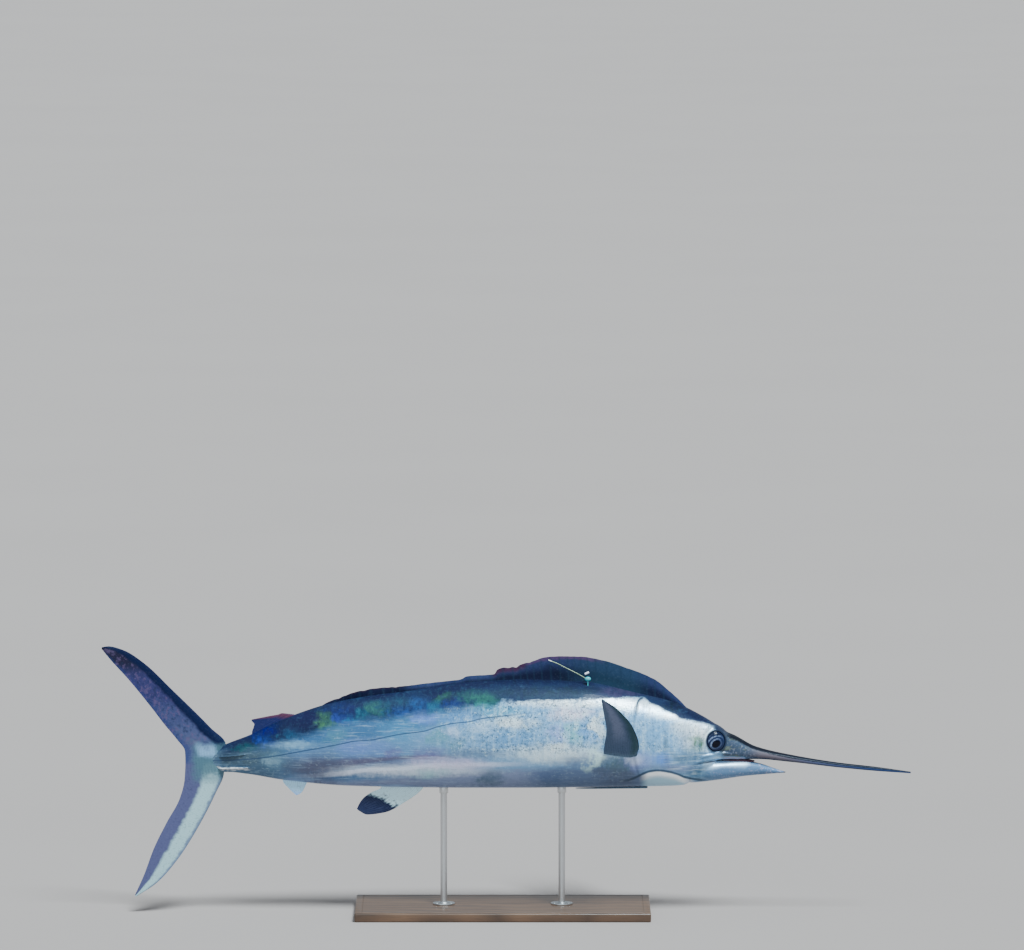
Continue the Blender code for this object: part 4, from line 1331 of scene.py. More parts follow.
def paint_silver(finish, places, ragged, dabs):
    rise, mix, guide, x = finish.rise, finish.mix, finish.guide, finish.x
    line, seen = guide("over_side_line"), guide("seen")
    silver = mix(rise(seen, 0.05, 0.15), (0.185, 0.36, 0.58), (0.215, 0.44, 0.7))
    silver = mix(rise(x, 0.06, -0.42) * 0.85, silver, (0.092, 0.188, 0.365))
    silver = mix(rise(line, -0.004, 0.014) * rise(x, 0.1, -0.2) * 0.7, silver, (0.018, 0.094, 0.22))
    # Painted shade: the dark stripe along its guide, wider towards the tail.
    wide = 0.0085 + 0.02 * rise(x, -0.34, -0.52)
    stripe = rise(abs(guide("over_shade_stripe") + (ragged - 0.5) * 0.008) / wide, 1.15, 0.2)
    silver = mix(stripe * rise(x, -0.66, -0.54) * rise(x, -0.06, -0.26) * 0.8, silver,
                 (0.115, 0.106, 0.16))
    silver = mix(rise(x, -0.54, -0.66) * 0.8, silver, (0.058, 0.104, 0.155))
    # Painted reflection: a bright band along its guide, low on the flank.
    band = rise(abs(guide("over_reflection_band") + (ragged - 0.5) * 0.006), 0.0095, 0.002)
    silver = mix(band * rise(x, -0.6, -0.44) * rise(x, 0.1, -0.1) * 0.85, silver,
                 (0.72, 0.8, 1.0))
    # Painted shade: the belly below its shade line is painted darker, darkest in front.
    belly = mix(rise(x, 0.0, 0.15), (0.25, 0.295, 0.47), (0.118, 0.155, 0.27))
    shaded = rise(guide("over_belly_shade") + (ragged - 0.5) * 0.024, 0.002, -0.018)
    silver = mix(shaded * 0.88, silver, belly)
    return paint_patches(finish, silver, GLINTS, places, 0.76 + 0.24 * rise(dabs, 0.36, 0.6))


print("the silver is painted with", len(GLINTS), "glints")

# %% [markdown]
# Close up, a live marlin's side glitters: some splints catch the light and others turn from it. Real foil
# laid in flakes would do it, but noises at a few sizes give the same broken light, kept to the front of the
# flank and off the belly, and finer towards the tail.

# %% Paint the fine marks
def paint_foil(finish, silver, streak, ragged, mottle, specks):
    """Fine light and dark marks, where the splints under the skin catch the light or turn from it."""
    rise, mix = finish.rise, finish.mix
    front = rise(finish.x, -0.26, 0.0)
    clear = rise(finish.guide("over_belly_shade"), 0.004, 0.024)
    clear = clear * (0.15 + 0.85 * rise(finish.guide("seen"), 0.086, 0.106))
    lively = front * (1.0 - 0.35 * rise(finish.x, 0.31, 0.35)) * clear
    clustered = 0.25 + 0.75 * rise(ragged, 0.44, 0.56)
    runs = finish.cloud((90.0, 30.0, 13.0), 3.0, 0.6)
    hairs = 0.28 - 0.18 * front - 0.12 * rise(finish.x, -0.46, -0.56)
    silver = mix(rise(streak, 0.52, 0.75) * hairs, silver, (0.52, 0.74, 1.0))
    silver = mix(rise(streak, 0.46, 0.26) * (0.3 - 0.18 * front), silver, (0.08, 0.15, 0.28))
    silver = mix(rise(runs, 0.5, 0.66) * front * clear * 0.34, silver, (0.6, 0.86, 1.0))
    silver = mix(rise(runs, 0.48, 0.34) * front * clear * 0.34, silver, (0.08, 0.19, 0.35))
    silver = mix(rise(mottle, 0.53, 0.61) * (0.12 + 0.68 * lively) * clustered, silver, (0.68, 0.92, 1.0))
    silver = mix(rise(mottle, 0.48, 0.39) * (0.12 + 0.5 * lively), silver, (0.05, 0.125, 0.23))
    return mix(rise(specks, 0.46, 0.39) * (0.1 + 0.8 * lively) * clustered, silver, (0.018, 0.045, 0.085))


print("light and dark marks are ready")

# %% [markdown]
# The back starts as navy. Two noises break it, its sheens are laid on, and last come fine specks.

# %% Paint the back
def paint_back(finish, places, drift, ragged, dabs, mottle, specks):
    rise, mix = finish.rise, finish.mix
    back = mix(rise(drift, 0.42, 0.64) * 0.6, NAVY, (0.009, 0.022, 0.062))
    back = mix(rise(dabs, 0.52, 0.72) * 0.45, back, (0.014, 0.046, 0.09))
    back = mix(rise(dabs, 0.46, 0.32) * 0.5, back, (0.004, 0.008, 0.04))
    back = paint_patches(finish, back, SHEENS, places, 0.4 + 0.6 * rise(dabs, 0.38, 0.6))
    back = mix(rise(ragged, 0.56, 0.7) * 0.22, back, (0.04, 0.095, 0.16))
    back = mix(rise(mottle, 0.49, 0.38) * 0.5, back, (0.004, 0.01, 0.03))
    return mix(rise(specks, 0.54, 0.64) * 0.08, back, (0.08, 0.18, 0.28))


print("the back is painted with", len(SHEENS), "sheens")

# %% [markdown]
# The whole skin shares a few noises. Coarse ones bend the places at which the patches are laid, so that no
# patch keeps a round edge. The dark back ends along its measured edge, ragged behind and cleaner on the
# head, and a strip along the very top is always dark.

# %% Join the back and the silver
def paint_skin(finish):
    """Returns the colour, how much of it is the dark back, and two noises for the rest of the finish."""
    rise, mix, guide = finish.rise, finish.mix, finish.guide
    drift = finish.cloud((14.0, 10.0, 26.0), 4.0, 0.6)
    ragged = finish.cloud((26.0, 16.0, 90.0), 5.0, 0.65, (3.0, 0.0, 0.0))
    streak = finish.cloud((18.0, 40.0, 240.0), 3.0, 0.6)
    dabs = finish.cloud((95.0, 40.0, 48.0), 2.5, 0.55, (7.0, 0.0, 0.0))
    tame = 0.3 + 0.7 * rise(finish.x, 0.36, 0.3)
    x = finish.x + tame * ((drift - 0.5) * 0.13 + (dabs - 0.5) * 0.045)
    seen = guide("seen") + tame * ((ragged - 0.5) * 0.02 + (dabs - 0.5) * 0.01)
    places = {}
    for stretch in STRETCHES:
        places[stretch] = finish.node("CombineXYZ", {}, {0: x / stretch, 1: seen}).outputs[0]
    silver = paint_silver(finish, places, ragged, dabs)
    mottle = finish.cloud((78.0, 56.0, 92.0), 6.0, 0.82)
    specks = finish.cloud((250.0, 120.0, 190.0), 3.0, 0.7)
    silver = paint_foil(finish, silver, streak, ragged, mottle, specks)
    line = rise(abs(guide("over_side_line") + (ragged - 0.5) * 0.003), 0.0026, 0.0008)
    silver = mix(line * rise(finish.x, 0.12, -0.04) * 0.8, silver, (0.03, 0.06, 0.12))
    back = paint_back(finish, places, drift, ragged, dabs, mottle, specks)
    edge = guide("over_back_edge") + (tame + 0.25) * ((ragged - 0.5) * 0.022 + (dabs - 0.5) * 0.008)
    sharp = 1.0 - 0.7 * rise(finish.x, 0.1, -0.14)
    is_back = rise(edge * sharp, -0.0045, 0.006) * rise(finish.x, -0.8, -0.74)
    top_strip = rise(abs(finish.y), 0.027, 0.014) * rise(guide("level"), 0.8, 0.92)
    is_back = is_back + (1.0 - is_back) * (top_strip * rise(finish.x, 0.56, 0.52))
    return mix(is_back, silver, back), is_back, streak, ragged


print("the skin is ready to join")

# %% [markdown]
# On the head the gill cover ends in a dark line of painted shade in its groove, with a painted highlight
# on its rim near the top. The throat has a white oval, painted darker towards its bottom, under a dark
# line of painted shade in its fold, and fine streaks cross the cheek. They are painted on the same lines
# that were pressed in before.

# %% Paint the head
def paint_head(finish, colour, streak, ragged):
    rise, mix, guide = finish.rise, finish.mix, finish.guide
    x, seen = finish.x, guide("seen")
    fine = finish.cloud((160.0, 160.0, 160.0), 3.0, 0.6)
    gill, throat = guide("gill"), guide("over_throat")
    head = rise(x, 0.32, 0.345) * rise(x, 0.374, 0.366)
    hook = rise(seen, 0.19, 0.228)
    # Painted shade: a dark line in the groove along the gill cover's edge, darkest near the top.
    colour = mix(rise(abs(gill + 0.002), 0.0044, 0.0012) * head * (0.2 + 0.75 * hook), colour,
                 (0.03, 0.048, 0.08))
    # Painted highlight: a light rim on the gill cover's edge, near its top.
    colour = mix(rise(abs(gill - 0.006), 0.0044, 0.001) * head * hook * 0.45, colour, (0.85, 0.92, 1.0))
    ridge = rise(abs(guide("ridge") + (ragged - 0.5) * 0.006), 0.009, 0.001)
    ridge = ridge * rise(x, 0.4, 0.42) * rise(x, 0.478, 0.462) * rise(seen, 0.19, 0.18)
    colour = mix(ridge * 0.15, colour, (0.2, 0.28, 0.34))
    oval = rise(throat, -0.001, -0.005) * rise(x, 0.356, 0.388) * rise(x, 0.52, 0.47)
    # Painted shade: the white oval is painted darker towards its bottom.
    oval_shade = rise(throat + (ragged - 0.5) * 0.01, -0.008, -0.024)
    oval_shaded_tint = mix(oval_shade, (1.0, 1.0, 1.0), (0.4, 0.62, 0.76))
    colour = mix(oval * 0.95, colour, oval_shaded_tint)
    low_head = rise(x, 0.4, 0.46) * rise(seen, 0.124, 0.1) * rise(throat, 0.0, 0.004)
    colour = mix(rise(streak, 0.48, 0.36) * low_head * 0.3, colour, (0.14, 0.22, 0.31))
    colour = mix(rise(streak, 0.52, 0.65) * low_head * 0.3, colour, (0.76, 0.94, 1.0))
    # Painted shade: a dark line in the crease of the throat's fold.
    fold = rise(abs(throat + (ragged - 0.5) * 0.003), 0.0052, 0.0014) * rise(x, 0.3, 0.345)
    colour = mix(fold * rise(x, 0.56, 0.52) * 0.8, colour, (0.03, 0.05, 0.08))
    return colour, fine


print("head lines:", ["gill", "ridge", "throat"])

# %% [markdown]
# The snout is grey and speckled in front of the eye, and the bill is nearly black above and brown grey
# below. The lower jaw is silver white, with a thin pink lip, and a soft dark line of painted shade runs
# where the lips meet.

# %% Paint the snout, the bill and the jaw
def paint_mouth(finish, colour, ragged, fine):
    rise, mix, guide = finish.rise, finish.mix, finish.guide
    x, level, gape = finish.x, guide("level"), guide("gape")
    before_eye = 0.582 - 0.016 * rise(guide("seen"), 0.118, 0.15)
    snout = rise(x - before_eye + (ragged - 0.5) * 0.02, -0.01, 0.008) * rise(gape, 0.004, 0.012)
    colour = mix(snout * 0.95, colour, (0.04, 0.056, 0.092))
    colour = mix(snout * rise(fine, 0.5, 0.66) * 0.5, colour, (0.25, 0.265, 0.34))
    colour = mix(snout * rise(ragged, 0.5, 0.62) * 0.55, colour, (0.11, 0.125, 0.07))
    over_eye = rise(guide("seen"), 0.146, 0.156) * rise(x, 0.552, 0.57)
    colour = mix(over_eye * 0.92, colour, (0.008, 0.016, 0.046))
    bill = rise(x, 0.64, 0.7)
    horn = mix(rise(x, 0.72, 0.86), (0.125, 0.106, 0.13), (0.08, 0.098, 0.185))
    colour = mix(bill, colour, mix(rise(level + (fine - 0.5) * 0.3, 0.1, 0.3), (0.01, 0.02, 0.048), horn))
    colour = mix(rise(x, 0.8, 1.0) * 0.75, colour, (0.01, 0.038, 0.14))
    black_from = 0.86 - 0.3 * rise(x, 0.6, 0.8)
    black = rise(level - black_from + (fine - 0.5) * 0.16, -0.06, 0.06)
    colour = mix(rise(x, 0.58, 0.61) * black * 0.97, colour, (0.0005, 0.001, 0.006))
    jaw = rise(gape, 0.001, -0.002) * rise(x, 0.52, 0.57) * rise(x, 0.756, 0.746)
    jaw_colour = mix(rise(gape + (ragged - 0.5) * 0.01, -0.026, -0.01), (0.1, 0.18, 0.31),
                     (0.52, 0.74, 0.94))
    colour = mix(jaw * 0.92, colour, jaw_colour)
    blush = jaw * rise(fine, 0.52, 0.68) * (0.28 + 0.24 * rise(x, 0.64, 0.7))
    colour = mix(blush, colour, (0.6, 0.5, 0.64))
    lip = rise(abs(gape - 0.0046), 0.004, 0.0014) * rise(x, 0.575, 0.6) * rise(x, 0.69, 0.65)
    colour = mix(lip * 0.6, colour, (0.34, 0.2, 0.24))
    # Painted shade: a soft dark line where the lips meet.
    mouth = rise(abs(gape), 0.0022, 0.0006) * rise(x, 0.508, 0.55) * rise(x, 0.7, 0.66)
    colour = mix(mouth * 0.85, colour, (0.05, 0.034, 0.056))
    orbit = rise(guide("eye"), 1.2, 1.08)
    return mix(orbit * 0.9, colour, (0.018, 0.028, 0.055))


print("snout, bill and jaw are ready")

# %% [markdown]
# Last, the finish is put together. The silver is a little metallic, the back and the bill hardly at all,
# and the skin's relief is made of narrow cells for the embedded splints, fine streaks and a slight grain.

# %% Put the skin's finish together
skin_finish = Finish("marlin_skin", WET)
colour, is_back, streak, ragged = paint_skin(skin_finish)
colour, fine = paint_head(skin_finish, colour, streak, ragged)
colour = paint_mouth(skin_finish, colour, ragged, fine)
on_head = skin_finish.rise(skin_finish.x, 0.33, 0.37)
on_bill = skin_finish.rise(skin_finish.x, 0.6, 0.68)
skin_finish.wear(
    Base_Color=colour,
    Metallic=(0.28 - 0.2 * is_back) * (1.0 - on_bill * 0.9),
    Roughness=0.3 + 0.1 * streak + 0.14 * is_back + 0.16 * on_bill,
)
splints = skin_finish.cells((95.0, 170.0, 300.0))
grain = skin_finish.cloud((420.0, 420.0, 420.0), 2.0)
skin_finish.relief((splints * 0.6 + streak * 0.6) * (1.0 - 0.75 * on_head) + grain * 0.3, 0.00042)
print("skin nodes:", len(skin_finish.tree.nodes))

# %% [markdown]
# ## The fins
#
# Fin membrane is dark and slightly glossy, with fine rays that fan out from the root. Each fin takes its
# rays from the two shares kept when its blade was made, so they follow its curve. At the root the tail
# fin and the pectoral fins turn to the colour of the body, because skin runs up onto them.

# %% What all the fins share
def rays(finish, share, count):
    """Fine lines, count of them over a share from 0 to 1."""
    turned = finish.node("Math", {"operation": "PINGPONG"}, {0: share * (count * 2.0), 1: 1.0})
    return Amount(finish, turned.outputs[0])


def fin_finish(name):
    finish = Finish(name, WET)
    return finish, finish.guide("out"), finish.guide("across"), finish.cloud((40.0, 40.0, 60.0), 4.0, 0.6)


def finish_fin(finish, colour, lines, cloud, line_tint, depth=0.0004):
    """Adds the rays and a fine mottle to a fin's colour, and returns the material."""
    fine = finish.cloud((190.0, 190.0, 260.0), 3.0, 0.6)
    colour = finish.mix(finish.rise(lines, 0.6, 1.0) * 0.4, colour, line_tint)
    colour = finish.mix(finish.rise(fine, 0.46, 0.3) * 0.3, colour, (0.004, 0.008, 0.02))
    colour = finish.mix(finish.rise(fine, 0.54, 0.76) * 0.05, colour, (0.3, 0.34, 0.44))
    finish.wear(Base_Color=colour, Roughness=0.34 + 0.14 * cloud)
    finish.relief(lines * 0.5 + cloud * 0.3 + fine * 0.2, depth)
    return finish.material


print("fins share", WET)

# %% [markdown]
# The inside of the mouth is wet dark flesh. The tail fin is slate blue, with a nearly black front edge
# above and a broad pale band below, and scales run a little way out onto its root, which carries a
# painted highlight by the stalk.

# %% Finishes of the mouth and the tail fin
def make_mouth_finish():
    """Wet dark flesh."""
    finish = Finish("mouth_flesh", WET)
    cloud = finish.cloud((120.0, 160.0, 160.0), 3.0, 0.6)
    finish.wear(Base_Color=finish.mix(cloud, (0.06, 0.03, 0.046), (0.17, 0.085, 0.11)),
                Roughness=0.3 + 0.2 * cloud)
    finish.relief(cloud, 0.0004)
    return finish.material


def make_tail_finish():
    finish, out, across, cloud = fin_finish("tail_membrane")
    rise, mix = finish.rise, finish.mix
    edge = across + (cloud - 0.5) * 0.2
    blade = mix(rise(out, 0.2, 0.42), (0.07, 0.086, 0.19), (0.048, 0.056, 0.15))
    blade = mix(rise(out + (cloud - 0.5) * 0.2, 0.42, 0.58), blade, (0.034, 0.032, 0.115))
    blade = mix(rise(out, 0.7, 0.86), blade, (0.012, 0.009, 0.028))
    blade = mix(rise(edge, 0.8, 0.95) * 0.5, blade, (0.018, 0.032, 0.14))
    upper = mix(rise(edge, 0.24, 0.38), (0.001, 0.004, 0.034), blade)
    lower = mix(rise(edge, 0.46, 0.62), (0.38, 0.56, 0.6), (0.085, 0.088, 0.19))
    lower = mix(rise(edge, 0.14, 0.04) * 0.75, lower, (0.09, 0.11, 0.24))
    colour = mix(rise(finish.z, BELLY + 0.056, BELLY + 0.074), lower, upper)
    mottle = finish.cloud((70.0, 70.0, 55.0), 5.0, 0.75)
    on_blade = rise(finish.z, BELLY + 0.09, BELLY + 0.13) * rise(edge, 0.26, 0.4)
    colour = mix(rise(mottle, 0.5, 0.62) * on_blade * 0.6, colour, (0.12, 0.078, 0.17))
    colour = mix(rise(mottle, 0.47, 0.36) * on_blade * 0.6, colour, (0.012, 0.018, 0.05))
    root = rise(out + (cloud - 0.5) * 0.2, 0.22, 0.05) * rise(edge, 0.9, 0.7)
    colour = mix(root * 0.92, colour, (0.07, 0.15, 0.19))
    # Painted highlight on the tail's root, by the stalk.
    glint = rise(out + (cloud - 0.5) * 0.3, 0.24, 0.1)
    glint = glint * rise(finish.z + (cloud - 0.5) * 0.03, BELLY + 0.066, BELLY + 0.088)
    glint = glint * rise(out + (cloud - 0.5) * 0.04, 0.02, 0.07)
    glint = glint * rise(finish.z, BELLY + 0.132, BELLY + 0.1)
    glint = glint * rise(edge, 0.16, 0.3) * rise(edge, 0.78, 0.58)
    colour = mix(glint * 0.6, colour, (0.3, 0.54, 0.84))
    return finish_fin(finish, colour, rays(finish, across, 26), cloud, (0.012, 0.02, 0.05))


print("mouth and tail finishes are ready")

# %% [markdown]
# The dorsal fins are the darkest: blue black, with a purple rim where light shines through the thin edge.

# %% Finishes of the dorsal fins
def make_dorsal_finish():
    finish, out, across, cloud = fin_finish("dorsal_membrane")
    rise, mix, x = finish.rise, finish.mix, finish.x
    up = across + (cloud - 0.5) * 0.2
    colour = mix(rise(up, 0.35, 0.85), (0.003, 0.004, 0.022), (0.018, 0.027, 0.084))
    colour = mix(rise(x, 0.12, 0.26) * rise(x, 0.4, 0.33) * 0.6, colour, (0.012, 0.04, 0.07))
    rim = rise(up, 0.84, 0.96) * rise(x, 0.03, 0.06) * rise(x, 0.28, 0.21)
    colour = mix(rim * 0.8, colour, (0.075, 0.034, 0.1))
    tips = rise(up, 0.6, 0.9) * rise(x, -0.05, -0.025) * rise(x, 0.065, 0.04)
    colour = mix(tips * 0.8, colour, (0.046, 0.008, 0.03))
    folded = rise(x, -0.25, -0.3)
    colour = mix(folded * 0.92, colour, (0.0002, 0.001, 0.018))
    colour = mix(folded * rise(up, 0.8, 0.94) * 0.45, colour, (0.03, 0.01, 0.03))
    lines = 1.0 - rays(finish, out, DORSAL_SPINES)
    return finish_fin(finish, colour, lines, cloud, (0.008, 0.024, 0.05))


def make_second_dorsal_finish():
    finish, out, across, cloud = fin_finish("second_dorsal_membrane")
    colour = finish.mix(finish.rise(across, 0.3, 0.08), (0.014, 0.018, 0.088), (0.08, 0.022, 0.05))
    return finish_fin(finish, colour, rays(finish, out, 12), cloud, (0.004, 0.01, 0.04))


print("dorsal finishes are ready")

# %% [markdown]
# The pectoral fins are grey, paler along the middle. The anal fin is white with a dark tip, and the little
# one behind it is pale all over.

# %% Finishes of the other fins
def make_pectoral_finish():
    finish, out, across, cloud = fin_finish("pectoral_membrane")
    rise, mix = finish.rise, finish.mix
    edge = across + (cloud - 0.5) * 0.2
    colour = mix(rise(edge, 0.1, 0.34), (0.026, 0.072, 0.098), (0.068, 0.108, 0.19))
    streak = rise(abs(edge - 0.56), 0.3, 0.06) * rise(out, 0.2, 0.52)
    colour = mix(streak * 0.85, colour, (0.165, 0.2, 0.32))
    colour = mix(rise(across, 0.05, 0.012) * 0.9, colour, (0.006, 0.016, 0.03))
    colour = mix(rise(out + (cloud - 0.5) * 0.12, 0.16, 0.04) * 0.8, colour, (0.12, 0.19, 0.27))
    return finish_fin(finish, colour, rays(finish, across, 20), cloud, (0.016, 0.028, 0.05), 0.00025)


def make_anal_finish():
    finish, out, across, cloud = fin_finish("anal_membrane")
    rise, mix = finish.rise, finish.mix
    lines = rays(finish, across, 9)
    edge = out + (cloud - 0.5) * 0.6 + (lines - 0.5) * 0.05
    colour = mix(rise(edge, 0.4, 0.56), (0.66, 0.92, 1.0), (0.0005, 0.001, 0.034))
    colour = mix(rise(edge, 0.6, 0.72) * rise(lines, 0.55, 0.9) * 0.35, colour, (0.06, 0.07, 0.18))
    return finish_fin(finish, colour, rays(finish, across, 18), cloud, (0.2, 0.26, 0.38))


def make_pale_finish():
    finish, out, across, cloud = fin_finish("pale_membrane")
    colour = finish.mix(finish.rise(out, 0.55, 1.0), (0.47, 0.78, 1.0), (0.32, 0.56, 0.98))
    return finish_fin(finish, colour, rays(finish, across, 12), cloud, (0.3, 0.38, 0.52))


print("all the fins' finishes are ready")

# %% [markdown]
# The union kept the number of each face's kind, so each finish only has to go into the slot of its number.

# %% Give each kind of face its finish
finishes = {
    "skin": skin_finish.material, "mouth": make_mouth_finish(), "dorsal": make_dorsal_finish(),
    "second_dorsal": make_second_dorsal_finish(), "tail": make_tail_finish(),
    "pectoral": make_pectoral_finish(), "anal": make_anal_finish(), "pale": make_pale_finish(),
}
for number, kind in enumerate(KINDS):
    skin.data.materials[number] = finishes[kind]
print("finishes:", sorted(finishes))

# %% [markdown]
# ## The eyes' finish
#
# The eye is dark, with a blue grey iris crossed by fine arcs, painted lighter on the lit upper left, and a
# large pupil that sits a little low. A clear coat stands for the wet lens.

# %% Finish of the eyes
PUPIL_SHIFT = (-0.0008, -0.0068)  # along the head and up, from the eye's middle
PUPIL_RADIUS = 0.0112
PUPIL_TILT = math.radians(32.0)


def guide_eye(eye):
    turned = turned_to_eye(points_of(eye))
    add_guide(eye, "reach", from_eye(points_of(eye))[0])
    across, up = turned[:, 0] - PUPIL_SHIFT[0], turned[:, 2] - PUPIL_SHIFT[1]
    along = across * math.cos(PUPIL_TILT) + up * math.sin(PUPIL_TILT)
    over = up * math.cos(PUPIL_TILT) - across * math.sin(PUPIL_TILT)
    add_guide(eye, "pupil", np.hypot(along / 1.14, over / 0.88))


def make_eye_finish():
    lens = {"Coat Weight": 1.0, "Coat Roughness": 0.02, "Coat IOR": 1.25}
    finish = Finish("eye", {**lens, "Roughness": 0.5, "IOR": 1.1})
    rise, mix = finish.rise, finish.mix
    reach, pupil = finish.guide("reach"), finish.guide("pupil")
    cloud = finish.cloud((260.0, 120.0, 260.0), 3.0, 0.6)
    arcs = rays(finish, pupil + (cloud - 0.5) * 0.004, 110.0)
    # Painted light: the arcs are lighter on the upper left, the lit side, and fade towards the lower right.
    lit = rise(finish.x - 0.6 * (finish.z - EYE_SPOT.z), EYE_SPOT.x + 0.012, EYE_SPOT.x - 0.01)
    colour = mix(rise(arcs, 0.3, 0.85) * (0.22 + 0.78 * lit) * rise(cloud, 0.34, 0.56), (0.008, 0.016, 0.05),
                 (0.15, 0.2, 0.32))
    colour = mix(rise(finish.z, EYE_SPOT.z + 0.012, EYE_SPOT.z + 0.02) * 0.9, colour, (0.002, 0.005, 0.018))
    colour = mix(rise(reach + (cloud - 0.5) * 0.2, 0.76, 0.92), colour, (0.004, 0.01, 0.034))
    colour = mix(rise(pupil, PUPIL_RADIUS, PUPIL_RADIUS - 0.0014), colour, (0.0004, 0.001, 0.006))
    finish.wear(Base_Color=colour)
    return finish.material


eye_finish = make_eye_finish()
for eye in (eye_right, eye_left):
    guide_eye(eye)
    dress(eye, eye_finish)
print("eyes finished")

# %% [markdown]
# ## The tag
#
# The fish wears a small streamer tag in its back: an anchor bead on a short stem, a pale collar and a thin
# streamer that lies along the fin. They are separate made things, so they stay separate pieces.

# %% Tag
TAG_BEAD = Vector((0.22, -0.029, 0.2985 + BELLY))
TAG_COLLAR = (Vector((0.212, -0.0215, 0.3105 + BELLY)), Vector((0.223, -0.0215, 0.316 + BELLY)))
TAG_STREAMER = (
    (0.217, -0.029, 0.299), (0.2105, -0.026, 0.302), (0.19, -0.0215, 0.313), (0.165, -0.0175, 0.325),
    (0.14, -0.0138, 0.3375), (0.114, -0.011, 0.3475),
)


def add_rod(name, start, end, radius, sides):
    """A round rod between two points."""
    let_go()
    reach = end - start
    bpy.ops.mesh.primitive_cylinder_add(
        vertices=sides, radius=radius, depth=reach.length, location=(start + end) / 2,
        rotation=reach.to_track_quat("Z", "Y").to_euler(),
    )
    return call_it(name)


def round_edges(piece, width, segments, angle=40.0):
    edge = piece.modifiers.new("edge", "BEVEL")
    edge.width = width
    edge.segments = segments
    edge.limit_method = "ANGLE"
    edge.angle_limit = math.radians(angle)
    return shade(apply_modifiers(piece), 35.0)


let_go()
bpy.ops.mesh.primitive_uv_sphere_add(segments=32, ring_count=20, radius=1.0, location=TAG_BEAD,
                                     scale=(0.0085, 0.0055, 0.006))
bead = call_it("tag_anchor_bead")
combine(bead, add_rod("stem", TAG_BEAD, TAG_BEAD - Vector((0.0, 0.0, 0.02)), 0.0014, 12), "UNION")
shade(bead, 50.0)
collar = round_edges(add_rod("tag_pale_collar", *TAG_COLLAR, 0.0029, 20), 0.0008, 2)

streamer_curve = smooth_rows([(k, *spot) for k, spot in enumerate(TAG_STREAMER)])
streamer_places = streamer_curve(np.linspace(0.0, len(TAG_STREAMER) - 1, 30))
let_go()
bpy.ops.mesh.primitive_circle_add(
    vertices=10, radius=0.0013, location=(0, 0, 0), rotation=(0, -math.pi / 2, 0),
)
streamer = call_it("tag_thin_streamer")
open_mesh(streamer)
bpy.ops.transform.translate(value=tuple(streamer_places[0] + (0.0, 0.0, BELLY)))
for step in np.diff(streamer_places, axis=0):
    bpy.ops.mesh.extrude_region_move(TRANSFORM_OT_translate={"value": tuple(step)})
close_mesh()
close_ends(streamer)
shade(streamer, 50.0)

print("tag solids:", [piece.name for piece in (bead, collar, streamer)])

# %% [markdown]
# The tag's plastic is a little cloudy and scuffed. The streamer is yellow, with a painted highlight at its
# free end.

# %% Finish of the tag
def make_plastic(name, tints, split=None):
    """Moulded plastic, a little cloudy and scuffed. split changes the tint past a place along x."""
    finish = Finish(name, {"Coat Weight": 0.25, "Coat Roughness": 0.15, "IOR": 1.48})
    cloud = finish.cloud((500.0, 500.0, 500.0), 3.0, 0.6)
    colour = finish.mix(cloud, tints[0], tints[1])
    if split is not None:
        colour = finish.mix(finish.rise(finish.x, split[0], split[0] - 0.004), colour, split[1])
    finish.wear(Base_Color=colour, Roughness=0.28 + 0.2 * cloud)
    finish.relief(cloud, 0.0001)
    return finish.material


teal = make_plastic("tag_teal", ((0.02, 0.3, 0.36), (0.09, 0.48, 0.54)))
white = make_plastic("tag_white", ((0.78, 0.76, 0.9), (0.88, 0.86, 0.96)))
yellow_tints = ((0.17, 0.25, 0.13), (0.28, 0.36, 0.21))
# Painted highlight: the streamer turns near white at its free end.
yellow = make_plastic("tag_yellow", yellow_tints, (0.124, (0.85, 0.85, 0.83)))
for piece, finish in ((bead, teal), (collar, white), (streamer, yellow)):
    dress(piece, finish)
print("tag pieces:", bead.name, collar.name, streamer.name)

# %% [markdown]
# ## The stand
#
# A leaping fish needs something to hold it, so a plain stand does: a dark hardwood base with rounded edges
# and a shallow groove round its top, two turned steel flanges with screws, and two brushed rods that enter
# the belly.

# %% Base
BASE_SIZE = (0.8, 0.34, 0.024)
BASE_MIDDLE = (-0.01, 0.0, 0.012)
FLANGE_FLOOR = 0.0243
FLANGE_HEIGHT = 0.006
DISC_HEIGHT = 0.0036
SCREW_CIRCLE = 0.0225
ROD_PLACES = {"front": 0.15, "rear": -0.17}
ROD_RADIUS = 0.009


def inset_top(piece, steps):
    """Insets the largest face that looks up, once for each thickness and depth."""
    faces = piece.data.polygons
    top = max(faces, key=lambda face: face.area * (face.normal.z > 0.9))
    open_part(piece, "FACE", np.arange(len(faces)) == top.index)
    for thickness, depth in steps:
        bpy.ops.mesh.inset(thickness=thickness, depth=depth)
    close_mesh()


def add_base():
    """A board whose top is inset twice, so that a shallow groove runs round it."""
    let_go()
    bpy.ops.mesh.primitive_cube_add(size=1.0, location=BASE_MIDDLE, scale=BASE_SIZE)
    base = call_it("stand_wood_base")
    round_edges(base, 0.004, 4, 60.0)
    inset_top(base, ((0.014, 0.0), (0.0012, -0.0012), (0.0012, 0.0), (0.0012, 0.0012)))
    return shade(base, 35.0)


base = add_base()
print("base:", count_triangles(base), "triangles")

# %% [markdown]
# A flange would be turned on a lathe. Here it is a disc whose top is inset and raised round the rod, and
# three screws with slots are made the same way and joined to it. Each rod ends in a sleeve under the belly.

